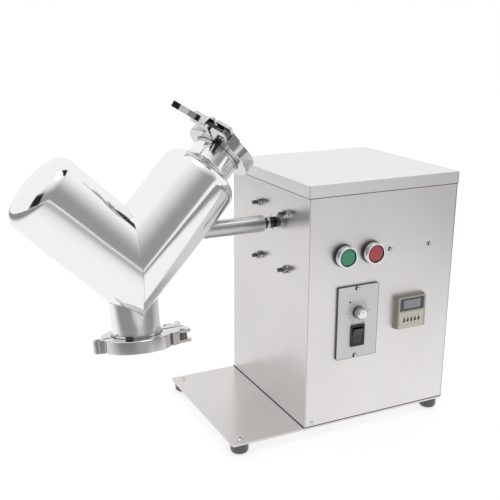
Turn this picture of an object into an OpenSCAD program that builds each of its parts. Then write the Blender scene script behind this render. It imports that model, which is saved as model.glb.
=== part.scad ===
// Bench-top V-shaped drum blender: a stainless drive cabinet on a base plate carries a horizontal
// shaft, and the shaft carries a V-shaped vessel with a clamped inlet and a clamped outlet.
// Millimetres. +Z up, the origin on the floor at the centre of the four feet, the shaft along X,
// the vessel on the -X side and the controls on the -Y side.

/* [Base plate and feet] */
// Length of the base plate, along the shaft
base_l = 342; // [330:1:380]
// Depth of the base plate, and of the cabinet on it
base_d = 230; // [220:1:260]
// Thickness of the base plate
base_t = 3; // [2:0.5:4]
// Corner radius of the base plate
base_corner_r = 3; // [1:0.5:8]
// Diameter of a rubber foot
foot_d = 25; // [20:0.5:28]
// Height of a rubber foot
foot_h = 15; // [13:0.5:20]
// From the plate's end to a foot's centre, along the shaft
foot_inset_x = 15; // [13:0.5:24]
// From the plate's edge to a foot's centre, in depth
foot_inset_y = 12; // [12:0.5:24]
// Thread diameter of a foot screw
foot_screw_d = 5; // [4:0.5:6]

/* [Cabinet] */
// Width of the cabinet, along the shaft
cabinet_w = 234; // [226:1:250]
// Height of the cabinet from the base plate to the top of the lid
cabinet_h = 339; // [335:1:380]
// Thickness of the sheet of the cabinet and the lid
sheet_t = 1.2; // [0.8:0.1:2]
// Outer radius of a bend in the sheet
bend_r = 2; // [1.5:0.1:3]
// Width of an inward flange
flange_w = 18; // [17:0.5:22]
// Height of the lid's turned-down rim
lid_rim_h = 16; // [10:0.5:22]
// Gap between the lid's rim and the cabinet
lid_gap = 0.3; // [0.2:0.05:0.6]
// Gap round the front panel
panel_gap = 0.4; // [0.3:0.05:0.8]
// Diameter of the shaft's hole in the wall
wall_hole_d = 22; // [20:0.5:26]

/* [Drive] */
// From the middle of the cabinet's depth to the gearhead's centre
motor_offset_y = -16; // [-22:1:-8]
// From the base plate to the gearhead's centre
motor_rise = 252; // [246:1:262]
// Side of the gearhead's square body
gearhead_w = 94; // [92:1:98]
// Length of the gearhead
gearhead_l = 62; // [56:1:70]
// Spacing of the four long motor bolts
bolt_spacing = 78; // [76:0.5:79]
// From the gearhead's centre up to the shaft's axis
shaft_eccentricity = 18; // [14:0.5:20]
// Length of the motor between its end flanges
motor_l = 70; // [60:1:80]
// Diameter of the motor's can over its ribs
motor_d = 88; // [80:1:92]
// Thread diameter of the motor bolts
motor_bolt_d = 6; // [5:0.5:6]
// How far a motor bolt stands out of the wall
motor_bolt_out = 13; // [12:0.5:16]

/* [Shaft] */
// Diameter of the output shaft
shaft_d = 15; // [13:0.5:16]
// Outer diameter of the shaft's ball bearing
bearing_d = 35; // [32:1:36]
// Width of the shaft's ball bearing
bearing_w = 11; // [9:0.5:12]
// Outer diameter of the vessel's sleeve
sleeve_d = 23; // [22:0.5:26]
// From the cabinet's wall to the sleeve's free end
sleeve_start = 17; // [15:0.5:20]
// From the cabinet's wall to the end of the shaft, inside the sleeve
shaft_reach = 84; // [70:1:90]

/* [Vessel] */
// From the cabinet's wall to the vessel's middle plane
vessel_reach = 209; // [205:1:225]
// From the shaft's axis down to where the arms' axes cross
axes_drop = 34; // [30:0.5:38]
// Angle of each arm from upright, in degrees
arm_angle = 45; // [44:0.5:46]
// How far the vessel leans back where it stands still, in degrees
rest_lean = 10; // [0:1:20]
// Outer diameter of an arm
arm_d = 107; // [103:0.5:110]
// Thickness of the vessel's wall
wall_t = 2; // [1.5:0.1:2.5]
// Length of an arm's axis up to the dished end
arm_l = 142; // [138:0.5:146]
// Depth of a dished end
dish_depth = 25.5; // [24:0.5:28]
// Outer knuckle radius of a dished end
knuckle_r = 20; // [18:0.5:22]
// From the arms' crossing to the inlet's gasket, along the arm
inlet_reach = 198; // [194:0.5:204]
// From the arms' crossing down to the outlet's gasket
outlet_reach = 97.5; // [96:0.5:104]
// Turn of the inlet's clamp about the neck, in degrees
inlet_turn = 228; // [210:1:240]

/* [Clamp closures] */
// Outer diameter of the neck, the spigot and the ferrules' tubes
tube_d = 63.5; // [62:0.5:65]
// Wall of the neck, the spigot and the ferrules' tubes
tube_t = 1.65; // [1.4:0.05:2]
// How far a ferrule's and a cap's rim stand out past the tube
rim_out = 7; // [6.5:0.25:8]
// Thickness of a ferrule and a cap at the rim
rim_t = 2.85; // [2.6:0.05:3.2]
// Length of a ferrule
ferrule_l = 12.7; // [11:0.1:14]
// Thickness of a gasket
gasket_t = 1.6; // [1.4:0.1:2]
// Thickness of a blind cap at its middle
cap_t = 6.35; // [6:0.05:7.5]
// Bevel of the ferrule, the cap and the clamp's groove, in degrees
bevel = 20; // [18:0.5:22]
// How far the clamp's ring stands out past the rims
ring_out = 8.25; // [7.5:0.25:10]
// Height of the clamp's ring
clamp_h = 17; // [16.5:0.1:19]
// How far the clamp's lips reach in over the rims
lip_in = 5.35; // [4.8:0.05:5.6]
// Gap between the two halves of a clamp
split_gap = 4; // [3:0.5:5]
// Diameter of the hinge pin and the bolt pin
pin_d = 5; // [4.5:0.1:5.5]
// Diameter of the swing bolt
bolt_d = 8; // [7:0.1:8]
// Length of the wing nut
wing_nut_l = 48; // [44:0.5:50]
// Turn of the inlet's wing nut about its bolt, in degrees
inlet_wing_turn = 161; // [0:1:180]

/* [Push buttons] */
// Height of the push buttons above the base plate
button_rise = 241.5; // [238:0.5:246]
// From the cabinet's left wall to the start button's centre
start_x = 53; // [50:0.5:56]
// Distance between the two push buttons
button_pitch = 43.5; // [40:0.5:46]
// Diameter of a button's base
button_base_d = 31; // [30:0.5:33]
// Diameter of the button's lens
lens_d = 21.6; // [20:0.2:22]
// Travel of a push button
button_travel = 4; // [3:0.5:4]

/* [Speed controller] */
// From the cabinet's left wall to the controller's centre
speed_x = 77.5; // [75:0.5:80]
// Height of the controller's centre above the base plate
speed_rise = 145.7; // [142:0.1:150]
// Width of the controller's face plate
speed_w = 64.5; // [62:0.5:66]
// Height of the controller's face plate
speed_h = 104; // [102:0.5:108]
// Thickness of the controller's face plate
speed_t = 3; // [2:0.1:4]
// Diameter of the knob
knob_d = 18; // [16:0.5:20]
// Height of the knob
knob_h = 12; // [11:0.5:14]
// Width of the rocker switch's frame
rocker_w = 22; // [21:0.5:24]
// Height of the rocker switch's frame
rocker_h = 31; // [30:0.5:33]

/* [Timer] */
// From the cabinet's left wall to the timer's centre
timer_x = 163; // [160:0.5:166]
// Height of the timer's centre above the base plate
timer_rise = 148; // [145:0.5:152]
// Side of the timer's front
timer_w = 48; // [46:0.5:50]
// How far the timer stands out of the panel
timer_out = 9; // [8:0.1:11]
// Depth of the timer's body behind the panel
timer_depth = 60; // [50:1:70]
// Distance between two thumbwheels
wheel_pitch = 6.1; // [6:0.1:6.4]
// Diameter of a thumbwheel
wheel_d = 18; // [16:0.5:18.5]

/* [Hidden] */
$fn = 96;

// Overrun of every cut, so that no cut ends on a face
over = 1;
// Radial clearance of a turning or sliding fit
run_fit = 0.05;
// Radial clearance of a screw in its hole
screw_fit = 0.3;
// Gap between pieces that move past each other
safe_gap = 0.3;
// Fillet of small moulded corners
small_r = 1;

// Places that several pieces share
deck_z = foot_h + base_t;
cabinet_x = base_l / 2 - cabinet_w;
front_y = -base_d / 2;
shell_top = deck_z + cabinet_h - sheet_t;
motor_z = deck_z + motor_rise;
shaft_z = motor_z + shaft_eccentricity;
vessel_x = cabinet_x - vessel_reach;
wall_in_x = cabinet_x + sheet_t;
panel_in_y = front_y + sheet_t;
button_z = deck_z + button_rise;
speed_z = deck_z + speed_rise;
timer_z = deck_z + timer_rise;

// Foot screws
foot_screw_grip = 6;

// Places of the front panel's pieces
rail_screw_d = 4;
rail_start = start_x + button_pitch + button_base_d / 2;
rail_room = cabinet_w - sheet_t - rail_start;
rail_share = 0.389;
rail_x = cabinet_x + rail_start + rail_share * rail_room;
rail_screw_share = 0.53;
rail_screw_span = rail_screw_share * rail_room;
rail_z = button_z;
rail_h = 35;
rail_l_share = 0.695;
rail_l = rail_l_share * rail_room;
rail_depth = 7.5;
rail_t = 1;
rail_web_h = 25;
capacitor_in_x = 44;
capacitor_in_y = 48;
keyhole_inset = 3.5;

// Socket in the gearhead behind the bearing, and the shaft's length in it
shaft_tail = 32;
shaft_clear = 1;

// Motor details
motor_flange_t = 8;
rib_count = 24;
rib_depth = 4;
rib_t = 2;
fan_cover_l = 26;
fan_cover_t = 1.5;
fan_cover_lip = 1;
fan_cover_d = motor_d + 2 * fan_cover_lip;
vent_count = 8;
vent_w = 4;
nut_af_share = 1.65;
nut_af = nut_af_share * motor_bolt_d;
nut_h_share = 0.8;
nut_h = nut_h_share * motor_bolt_d;
bolt_head_share = 0.7;
washer_t = 1.4;
washer_d = 2 * motor_bolt_d;

// Clamp geometry: the closure lies on +x of the clamp's own frame, the hinge on -x, and z
// points out of the neck
groove_gap = 0.3;
rim_r = tube_d / 2 + rim_out;
groove_r = rim_r + groove_gap;
lip_r = rim_r - lip_in;
clamp_r = rim_r + ring_out;
edge_bevel = 0.8;
hinge_out = 5;
hinge_x = clamp_r + hinge_out;
knuckle_out_r = 6.5;
tongue_t = 7;
bolt_out = 9;
bolt_x = clamp_r + bolt_out;
bolt_pin_y = 18;
eye_r = 6;
eye_t = 8.4;
ear_out = 10;
seat_drop = 27;
ear_root = 8;
bolt_l = 66;
clamp_washer_r = 9;
clamp_washer_t = 1.8;
pin_head_t = 1;
pin_head_r = pin_d / 2 + pin_head_t;
hub_r = 8;
hub_l = 21;
wing_t = 8;
wing_span_r = 22;
bead_r = 1.2;
bead_in = 3.95;
bead_at = rim_r - bead_in;
bead_clear = 0.1;

// Button details
bezel_inset = 0.6;
bezel_r = button_base_d / 2 - bezel_inset;
bezel_start = 5.2;
bezel_h = 7.6;
bezel_bore_gap = 0.4;
button_hole_d = 22.4;
barrel_l = 16;
stem_r = 5.5;
stem_back = 11.5;
lens_t = 2.4;
lens_recess = 0.8;

// Timer details
timer_lip = 1.7;
timer_body_w = timer_w - 2 * timer_lip;
timer_step = 1;
timer_step_at = 4;
window_w = 40;
window_h = 18;
window_t = 1.6;
window_rise = 12;
slot_w = 3.4;
slot_h = 5.6;
wheel_t = 4.9;
wheel_drop = 10.8;
wheel_skin = 1;
spindle_d = 2.4;

// A plate lying in XY, centred, with round corners
module round_plate(w, d, h, r) {
  linear_extrude(h) round_rect(w, d, r);
}

// A rectangle with round corners, centred
module round_rect(w, d, r) {
  square([w - 2 * r, d], center = true);
  square([w, d - 2 * r], center = true);
  for (sx = [-1, 1], sy = [-1, 1])
    translate([sx * (w / 2 - r), sy * (d / 2 - r)]) circle(r);
}

// Puts its children on the front panel at x and z, with their own z pointing out of the panel
module on_front(x, z) {
  translate([x, front_y, z]) rotate([90, 0, 0]) children();
}

// Puts its children on the gearhead's mounting face, with their own z pointing into the cabinet
// and their own y pointing up
module on_motor() {
  translate([wall_in_x, motor_offset_y, motor_z])
    rotate([90, 0, 90]) children();
}

// Places of the four motor bolts
module at_motor_bolts() {
  for (sx = [-1, 1], sy = [-1, 1])
    translate([sx * bolt_spacing / 2, sy * bolt_spacing / 2]) children();
}

// Places of the four feet
module at_feet() {
  for (sx = [-1, 1], sy = [-1, 1])
    translate([sx * (base_l / 2 - foot_inset_x), sy * (base_d / 2 - foot_inset_y)]) children();
}

// The vessel's own frame: the origin on the shaft's axis in the vessel's middle plane
module on_vessel() {
  translate([vessel_x, motor_offset_y, shaft_z]) rotate([-rest_lean, 0, 0]) children();
}

// The frame of one arm, z along the arm; side is 1 for the arm with the inlet, -1 for the other
module on_arm(side) {
  translate([0, 0, -axes_drop]) rotate([0, side * arm_angle, 0]) children();
}

// The frame of the clamp at the inlet or the outlet, at the middle of its gasket
module on_clamp(which) {
  if (which == "inlet")
    on_vessel() on_arm(1) translate([0, 0, inlet_reach]) rotate([0, 0, inlet_turn]) children();
  else
    on_vessel() translate([0, 0, -axes_drop - outlet_reach]) rotate([180, 0, 0]) children();
}

// Base plate and feet

module base_plate() color("gainsboro") difference() {
  translate([0, 0, foot_h]) round_plate(base_l, base_d, base_t, base_corner_r);
  at_feet() translate([0, 0, foot_h - over])
    cylinder(r = foot_screw_d / 2 + screw_fit, h = base_t + 2 * over);
}

module feet() color("dimgray") at_feet() difference() {
  cylinder(d = foot_d, h = foot_h);
  translate([0, 0, foot_h - foot_screw_grip]) cylinder(d = foot_screw_d, h = foot_screw_grip + over);
}

// The two screws under the cabinet hold its floor flange as well, so they are longer
module foot_screws() color("silver") for (sx = [-1, 1], sy = [-1, 1]) {
  seat = sx > 0 ? sheet_t : 0;
  translate([sx * (base_l / 2 - foot_inset_x), sy * (base_d / 2 - foot_inset_y), deck_z + seat])
    pan_screw(foot_screw_d, seat + base_t + foot_screw_grip);
}

// A screw with a low round head, its head's underside at z = 0 and a cross recess in the head
module pan_screw(d, l) {
  head_r_share = 0.95;
  head_h_share = 0.45;
  crown_share = 1.3;
  recess_share = 0.2;
  difference() {
    union() {
      translate([0, 0, -l]) cylinder(d = d, h = l);
      rotate_extrude() intersection() {
        translate([0, (head_h_share - crown_share) * d]) circle(crown_share * d);
        square([head_r_share * d, d]);
      }
    }
    for (turn = [0, 90]) rotate([0, 0, turn])
      translate([-d / 2, -recess_share * d / 2, recess_share * d]) cube([d, recess_share * d, d]);
  }
}

// Cabinet

module cabinet_shell() color("lightgray") {
  shell_h = shell_top - deck_z;
  inner_w = cabinet_w - 2 * sheet_t;
  inner_d = base_d - 2 * sheet_t;
  difference() {
    translate([base_l / 2 - cabinet_w / 2, 0, deck_z])
      round_plate(cabinet_w, base_d, shell_h, bend_r);
    translate([wall_in_x, front_y + sheet_t, deck_z + sheet_t])
      cube([inner_w, inner_d, shell_h - 2 * sheet_t]);
    translate([wall_in_x + flange_w, front_y + flange_w, deck_z - over])
      cube([inner_w - 2 * flange_w, base_d - 2 * flange_w, shell_h + 2 * over]);
    // The front is open between the side walls for the front panel, and so is the top's front
    translate([wall_in_x, front_y - over, deck_z - over])
      cube([inner_w, over + sheet_t + panel_gap, shell_h + 2 * over]);
    translate([wall_in_x + flange_w, front_y - over, shell_top - sheet_t - over])
      cube([inner_w - 2 * flange_w, flange_w + 2 * over, sheet_t + 2 * over]);
    at_feet() translate([0, 0, deck_z - over])
      cylinder(r = foot_screw_d / 2 + screw_fit, h = sheet_t + 2 * over);
    on_motor() translate([0, 0, -sheet_t - over]) {
      at_motor_bolts() cylinder(r = motor_bolt_d / 2 + screw_fit, h = sheet_t + 2 * over);
      translate([0, shaft_eccentricity]) cylinder(d = wall_hole_d, h = sheet_t + 2 * over);
    }
    on_gland() translate([0, 0, -sheet_t - over])
      cylinder(r = gland_thread_d / 2 + screw_fit, h = sheet_t + 2 * over);
  }
  // The front ends of the side walls are square, without a bend
  for (x = [cabinet_x, base_l / 2 - sheet_t]) translate([x, front_y, deck_z])
    cube([sheet_t, bend_r + sheet_t, shell_h]);
}

module front_panel() color("lightgray") {
  panel_w = cabinet_w - 2 * sheet_t - 2 * panel_gap;
  panel_x = wall_in_x + panel_gap;
  panel_z = deck_z + panel_gap;
  panel_h = shell_top - panel_z;
  side_z = deck_z + sheet_t + panel_gap;
  side_h = shell_top - sheet_t - panel_gap - side_z;
  top_x = wall_in_x + flange_w + panel_gap;
  difference() {
    translate([panel_x, front_y, panel_z]) cube([panel_w, sheet_t, panel_h]);
    for (b = [0, 1]) on_front(cabinet_x + start_x + b * button_pitch, button_z)
      translate([0, 0, -sheet_t - over]) cylinder(d = button_hole_d, h = sheet_t + 2 * over);
    on_front(cabinet_x + speed_x, speed_z) translate([0, 0, -sheet_t - over])
      round_plate(speed_box_w + 2 * panel_gap, speed_box_h + 2 * panel_gap, sheet_t + 2 * over, small_r);
    on_front(cabinet_x + speed_x, speed_z) for (s = [-1, 1])
      translate([0, s * (speed_h / 2 - keyhole_inset), -sheet_t - over])
        cylinder(r = speed_screw_d / 2 + screw_fit, h = sheet_t + 2 * over);
    on_front(cabinet_x + timer_x, timer_z) translate([0, 0, -sheet_t - over])
      round_plate(timer_body_w + 2 * panel_gap, timer_body_w + 2 * panel_gap, sheet_t + 2 * over, small_r);
    at_rail_screws() translate([0, 0, -sheet_t - over])
      cylinder(r = rail_screw_d / 2 + screw_fit, h = sheet_t + 2 * over);
  }
  for (x = [panel_x, panel_x + panel_w - sheet_t]) translate([x, front_y, side_z])
    cube([sheet_t, flange_w, side_h]);
  translate([top_x, front_y, shell_top - sheet_t])
    cube([cabinet_w - 2 * (top_x - cabinet_x), flange_w - panel_gap, sheet_t]);
}

module lid() color("whitesmoke") difference() {
  lid_out = lid_gap + sheet_t;
  translate([base_l / 2 - cabinet_w / 2, 0, shell_top + sheet_t - lid_rim_h])
    round_plate(cabinet_w + 2 * lid_out, base_d + 2 * lid_out, lid_rim_h, bend_r + lid_gap);
  translate([base_l / 2 - cabinet_w / 2, 0, shell_top - lid_rim_h])
    round_plate(cabinet_w + 2 * lid_gap, base_d + 2 * lid_gap, lid_rim_h, lid_gap);
}

// Drive

module gearhead() color("slategray") on_motor() difference() {
  seam_d = 1;
  seam_at_share = 0.62;
  round_plate(gearhead_w, gearhead_w, gearhead_l, 6 * small_r);
  at_motor_bolts() translate([0, 0, -over])
    cylinder(r = motor_bolt_d / 2 + screw_fit, h = gearhead_l + 2 * over);
  translate([0, shaft_eccentricity, -over]) cylinder(d = bearing_d, h = bearing_w + over);
  translate([0, shaft_eccentricity, -over])
    cylinder(r = shaft_d / 2 + shaft_clear, h = shaft_tail + shaft_clear + over);
  translate([0, 0, seam_at_share * gearhead_l]) linear_extrude(seam_d) difference() {
    square(gearhead_w + 2 * over, center = true);
    round_rect(gearhead_w - 2 * seam_d, gearhead_w - 2 * seam_d, 5 * small_r);
  }
}

module motor_body() color("silver") on_motor() translate([0, 0, gearhead_l]) {
  difference() {
    round_plate(gearhead_w, gearhead_w, motor_flange_t, 6 * small_r);
    at_motor_bolts() translate([0, 0, -over])
      cylinder(r = motor_bolt_d / 2 + screw_fit, h = motor_flange_t + 2 * over);
  }
  translate([0, 0, motor_flange_t]) linear_extrude(motor_l) {
    circle(motor_d / 2 - rib_depth);
    for (i = [0 : rib_count - 1]) rotate(i * 360 / rib_count)
      translate([motor_d / 2 - 2 * rib_depth, -rib_t / 2]) square([2 * rib_depth, rib_t]);
  }
  translate([0, 0, motor_flange_t + motor_l]) cylinder(d = motor_d, h = motor_flange_t);
}

module motor_fan_cover() color("gray") on_motor()
  translate([0, 0, gearhead_l + 2 * motor_flange_t + motor_l]) difference() {
    cylinder(d = fan_cover_d, h = fan_cover_l);
    translate([0, 0, -over])
      cylinder(r = fan_cover_d / 2 - fan_cover_t, h = fan_cover_l - fan_cover_t + over);
    for (i = [0 : vent_count - 1]) rotate(i * 360 / vent_count)
      translate([fan_cover_d / 5, -vent_w / 2, fan_cover_l - fan_cover_t - over])
        cube([fan_cover_d / 5, vent_w, fan_cover_t + 2 * over]);
  }

module shaft_bearing() color("silver") on_motor() translate([0, shaft_eccentricity])
  difference() {
    race_t = 4;
    shield_d = 0.6;
    cylinder(d = bearing_d, h = bearing_w);
    translate([0, 0, -over]) cylinder(r = shaft_d / 2 + run_fit, h = bearing_w + 2 * over);
    for (z = [-over, bearing_w - shield_d]) translate([0, 0, z]) difference() {
      cylinder(r = bearing_d / 2 - race_t, h = shield_d + over);
      cylinder(r = shaft_d / 2 + race_t, h = shield_d + over);
    }
  }

module motor_bolts() color("silver") on_motor() at_motor_bolts() {
  head_z = gearhead_l + motor_flange_t;
  translate([0, 0, -sheet_t - motor_bolt_out])
    cylinder(d = motor_bolt_d, h = sheet_t + motor_bolt_out + head_z);
  translate([0, 0, head_z]) cylinder(d = nut_af / cos(30), h = bolt_head_share * motor_bolt_d, $fn = 6);
}

module motor_nuts() color("gainsboro") on_motor() at_motor_bolts() {
  translate([0, 0, -sheet_t - washer_t]) difference() {
    cylinder(d = washer_d, h = washer_t);
    translate([0, 0, -over]) cylinder(r = motor_bolt_d / 2 + run_fit, h = washer_t + 2 * over);
  }
  translate([0, 0, -sheet_t - washer_t - nut_h]) difference() {
    cylinder(d = nut_af / cos(30), h = nut_h, $fn = 6);
    translate([0, 0, -over]) cylinder(r = motor_bolt_d / 2 + run_fit, h = nut_h + 2 * over);
  }
}

module run_capacitor() color("ivory")
  translate([base_l / 2 - capacitor_in_x, base_d / 2 - capacitor_in_y, deck_z]) {
    can_d = 40;
    can_h = 70;
    tab_w = 6.3;
    tab_t = 0.8;
    tab_h = 9;
    rim_w = 1.2;
    cylinder(d = can_d, h = can_h);
    translate([0, 0, can_h]) difference() {
      cylinder(d = can_d, h = rim_w);
      translate([0, 0, -over]) cylinder(r = can_d / 2 - rim_w, h = rim_w + 2 * over);
    }
    for (s = [-1, 1]) translate([s * can_d / 5 - tab_w / 2, -tab_t / 2, can_h]) cube([tab_w, tab_t, tab_h]);
  }

module at_rail_screws() {
  for (s = [-1, 1]) on_front(rail_x + s * rail_screw_span / 2, rail_z) children();
}

// Top-hat rail behind the front panel, its open back against the panel
module mount_rail() color("silver") translate([rail_x - rail_l / 2, panel_in_y, rail_z])
  difference() {
    brim_w = (rail_h - rail_web_h) / 2 + rail_t;
    rotate([90, 0, 90]) linear_extrude(rail_l) {
      translate([0, -rail_web_h / 2]) square([rail_t, rail_web_h]);
      for (s = [0, 1]) mirror([0, s]) {
        translate([0, rail_web_h / 2 - rail_t]) square([rail_depth, rail_t]);
        translate([rail_depth - rail_t, rail_h / 2 - brim_w]) square([rail_t, brim_w]);
      }
    }
    for (s = [-1, 1]) translate([rail_l / 2 + s * rail_screw_span / 2, -over, 0])
      rotate([-90, 0, 0]) cylinder(r = rail_screw_d / 2 + screw_fit, h = rail_t + 2 * over);
  }

module terminal_block() color("darkgray")
  translate([rail_x, panel_in_y + rail_depth, rail_z]) {
    pole_count = 6;
    pole_w = 8;
    block_h = 42;
    block_d = 24;
    step_h = 28;
    low_share = 0.6;
    port_share = 0.3;
    for (i = [0 : pole_count - 1]) translate([(i - pole_count / 2) * pole_w, 0, 0]) difference() {
      union() {
        translate([0, 0, -block_h / 2]) cube([pole_w, low_share * block_d, block_h]);
        translate([0, 0, -step_h / 2]) cube([pole_w, block_d, step_h]);
      }
      for (s = [-1, 1]) translate([pole_w / 2, port_share * block_d, s * (block_h + step_h) / 4])
        rotate([-90, 0, 0]) cylinder(r = port_share * pole_w, h = block_d);
    }
  }

module rail_screws() color("silver") at_rail_screws()
  pan_screw(rail_screw_d, sheet_t + rail_t + rail_screw_d);

// Push buttons

module button_base() {
  difference() {
    union() {
      cylinder(d = button_base_d, h = bezel_start);
      translate([0, 0, -barrel_l]) cylinder(d = button_hole_d - 2 * screw_fit, h = barrel_l + over);
    }
    translate([0, 0, -barrel_l - over])
      cylinder(r = stem_r + run_fit, h = barrel_l + bezel_start + 2 * over);
  }
}

module button_bezel() {
  rim_round = 1.2;
  bore_r = lens_d / 2 + bezel_bore_gap;
  rotate_extrude() translate([0, bezel_start]) {
    translate([bore_r, 0]) square([bezel_r - bore_r, bezel_h - rim_round]);
    translate([bore_r, 0]) square([bezel_r - rim_round - bore_r, bezel_h]);
    translate([bezel_r - rim_round, bezel_h - rim_round]) circle(rim_round, $fn = 48);
  }
}

module button_plunger() {
  lens_top = bezel_start + bezel_h - lens_recess;
  dome_share = 2.2;
  dome_r = dome_share * lens_d;
  translate([0, 0, -stem_back]) cylinder(r = stem_r, h = stem_back + lens_top - lens_t + over);
  rotate_extrude() intersection() {
    translate([0, lens_top - dome_r]) circle(dome_r, $fn = 360);
    translate([0, lens_top - lens_t]) square([lens_d / 2, lens_t]);
  }
}

module at_buttons() {
  for (b = [0, 1]) on_front(cabinet_x + start_x + b * button_pitch, button_z) children();
}

module button_bases() color("black") at_buttons() button_base();

module button_bezels() color("silver") at_buttons() button_bezel();

module button_nuts() color("black") at_buttons() {
  lock_d = 29;
  lock_h = 4;
  notch_r = 2;
  translate([0, 0, -sheet_t - lock_h]) difference() {
    cylinder(d = lock_d, h = lock_h);
    translate([0, 0, -over]) cylinder(d = button_hole_d - 2 * screw_fit, h = lock_h + 2 * over);
    for (i = [0 : 5]) rotate([0, 0, 60 * i]) translate([lock_d / 2, 0, -over])
      cylinder(r = notch_r, h = lock_h + 2 * over);
  }
}

module contact_blocks() color("darkgreen") at_buttons() {
  block_w = 22;
  block_h = 28;
  gearhead_clear = 10;
  gearhead_front = motor_offset_y - gearhead_w / 2;
  block_d = gearhead_front - front_y - barrel_l - gearhead_clear;
  screw_d = 5;
  translate([0, 0, -barrel_l - block_d]) difference() {
    translate([-block_w / 2, -block_h / 2, 0]) cube([block_w, block_h, block_d]);
    for (s = [-1, 1]) translate([0, s * block_h / 3, -over]) cylinder(d = screw_d, h = block_d / 3);
  }
}

module start_button() color("mediumseagreen") on_front(cabinet_x + start_x, button_z) button_plunger();

module stop_button() color("indianred") on_front(cabinet_x + start_x + button_pitch, button_z)
  button_plunger();

// Speed controller

speed_corner_r = 3;
speed_box_w = 56;
speed_box_h = 84;
speed_box_d = 34;
speed_screw_d = 3.5;
knob_up = 14;
spindle_r = 3;
spindle_in = 14;
knob_lift = 0.6;
cap_r_share = 0.73;
knob_cap_t = 1.6;
rocker_down = 19.5;
rocker_flange = 2;
rocker_body_w = 19;
rocker_body_h = 27.5;
rocker_body_d = 15;
paddle_w = 15.6;
paddle_h = 22;
paddle_gap = 0.5;
paddle_rest = 7;
led_d = 3;
led_left = 13;
led_up = 29.5;
keyhole_share = 0.9;
mark_w = 0.8;

module on_speed() {
  on_front(cabinet_x + speed_x, speed_z) children();
}

module speed_panel() color("silver") on_speed() difference() {
  round_plate(speed_w, speed_h, speed_t, speed_corner_r);
  translate([0, knob_up, -over]) cylinder(r = spindle_r + screw_fit, h = speed_t + 2 * over);
  translate([-led_left, led_up, speed_t / 2]) cylinder(d = led_d, h = speed_t);
  translate([0, -rocker_down, -over]) linear_extrude(speed_t + 2 * over)
    square([rocker_body_w + 2 * run_fit, rocker_body_h + 2 * run_fit], center = true);
  // Keyholes for the two panel screws
  for (s = [-1, 1]) translate([0, s * (speed_h / 2 - keyhole_inset), -over]) {
    cylinder(r = speed_screw_d / 2 + screw_fit, h = speed_t + 2 * over);
    translate([-keyhole_share * speed_screw_d, 0])
      cylinder(r = keyhole_share * speed_screw_d, h = speed_t + 2 * over);
  }
}

module speed_box() color("dimgray") on_speed() difference() {
  translate([0, 0, -speed_box_d]) round_plate(speed_box_w, speed_box_h, speed_box_d, small_r);
  translate([0, knob_up, -spindle_in - safe_gap])
    cylinder(r = spindle_r + run_fit, h = spindle_in + safe_gap + over);
  translate([-rocker_body_w / 2 - run_fit, -rocker_down - rocker_body_h / 2 - run_fit, -rocker_body_d])
    cube([rocker_body_w + 2 * run_fit, rocker_body_h + 2 * run_fit, rocker_body_d + over]);
}

module speed_panel_screws() color("silver") on_speed() for (s = [-1, 1])
  translate([0, s * (speed_h / 2 - keyhole_inset), speed_t])
    pan_screw(speed_screw_d, speed_t + sheet_t + speed_screw_d);

module speed_knob() color("black") on_speed() translate([0, knob_up, speed_t + knob_lift]) {
  grip_count = 18;
  grip_r = 0.6;
  skirt_h = 3;
  difference() {
    union() {
      cylinder(d = knob_d, h = skirt_h);
      cylinder(r = knob_d / 2 - small_r, h = knob_h - knob_lift);
    }
    translate([0, 0, knob_h - knob_lift - knob_cap_t])
      cylinder(r = cap_r_share * knob_d / 2, h = knob_cap_t + over);
    for (i = [0 : grip_count - 1]) rotate([0, 0, i * 360 / grip_count])
      translate([knob_d / 2 - small_r, 0, skirt_h + grip_r]) cylinder(r = grip_r, h = knob_h, $fn = 24);
  }
  translate([0, 0, -speed_t - knob_lift - spindle_in])
    cylinder(r = spindle_r, h = speed_t + knob_lift + spindle_in + small_r);
}

module knob_cap() color("gainsboro") on_speed() translate([0, knob_up, speed_t + knob_h - knob_cap_t])
  difference() {
    cylinder(r = cap_r_share * knob_d / 2 - run_fit, h = knob_cap_t + small_r);
    translate([-mark_w / 2, 0, knob_cap_t]) cube([mark_w, knob_d, small_r + over]);
  }

module rocker_frame() color("black") on_speed() translate([0, -rocker_down]) difference() {
  union() {
    translate([0, 0, speed_t]) round_plate(rocker_w, rocker_h, rocker_flange, small_r);
    translate([-rocker_body_w / 2, -rocker_body_h / 2, -rocker_body_d])
      cube([rocker_body_w, rocker_body_h, rocker_body_d + speed_t]);
  }
  translate([-paddle_w / 2 - paddle_gap, -paddle_h / 2 - 2 * paddle_gap, -rocker_body_d / 2 - speed_t])
    cube([paddle_w + 2 * paddle_gap, paddle_h + 4 * paddle_gap, rocker_body_d + 2 * speed_t]);
  translate([-rocker_body_w / 2, 0, paddle_pin_z]) rotate([0, 90, 0])
    cylinder(r = paddle_pin_r + run_fit, h = rocker_body_w);
}

paddle_pin_r = 1.2;
paddle_pin_z = 1;
paddle_crest = 5.4;
paddle_dip = 3.6;
paddle_root = 7;

module rocker() color("black") on_speed() translate([0, -rocker_down, paddle_pin_z])
  rotate([paddle_rest, 0, 0]) {
    translate([-paddle_w / 2, 0, 0]) rotate([90, 0, 90]) linear_extrude(paddle_w) polygon([
      [-paddle_h / 2, paddle_crest], [0, paddle_dip], [paddle_h / 2, paddle_crest],
      [paddle_h / 2 - small_r, paddle_dip / 2], [paddle_h / 4, -paddle_root], [-paddle_h / 4, -paddle_root],
      [-paddle_h / 2 + small_r, paddle_dip / 2]
    ]);
    translate([-paddle_w / 2 - paddle_gap - small_r, 0, 0]) rotate([0, 90, 0])
      cylinder(r = paddle_pin_r, h = paddle_w + 2 * paddle_gap + 2 * small_r);
  }

// Timer

module on_timer() {
  on_front(cabinet_x + timer_x, timer_z) children();
}

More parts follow.
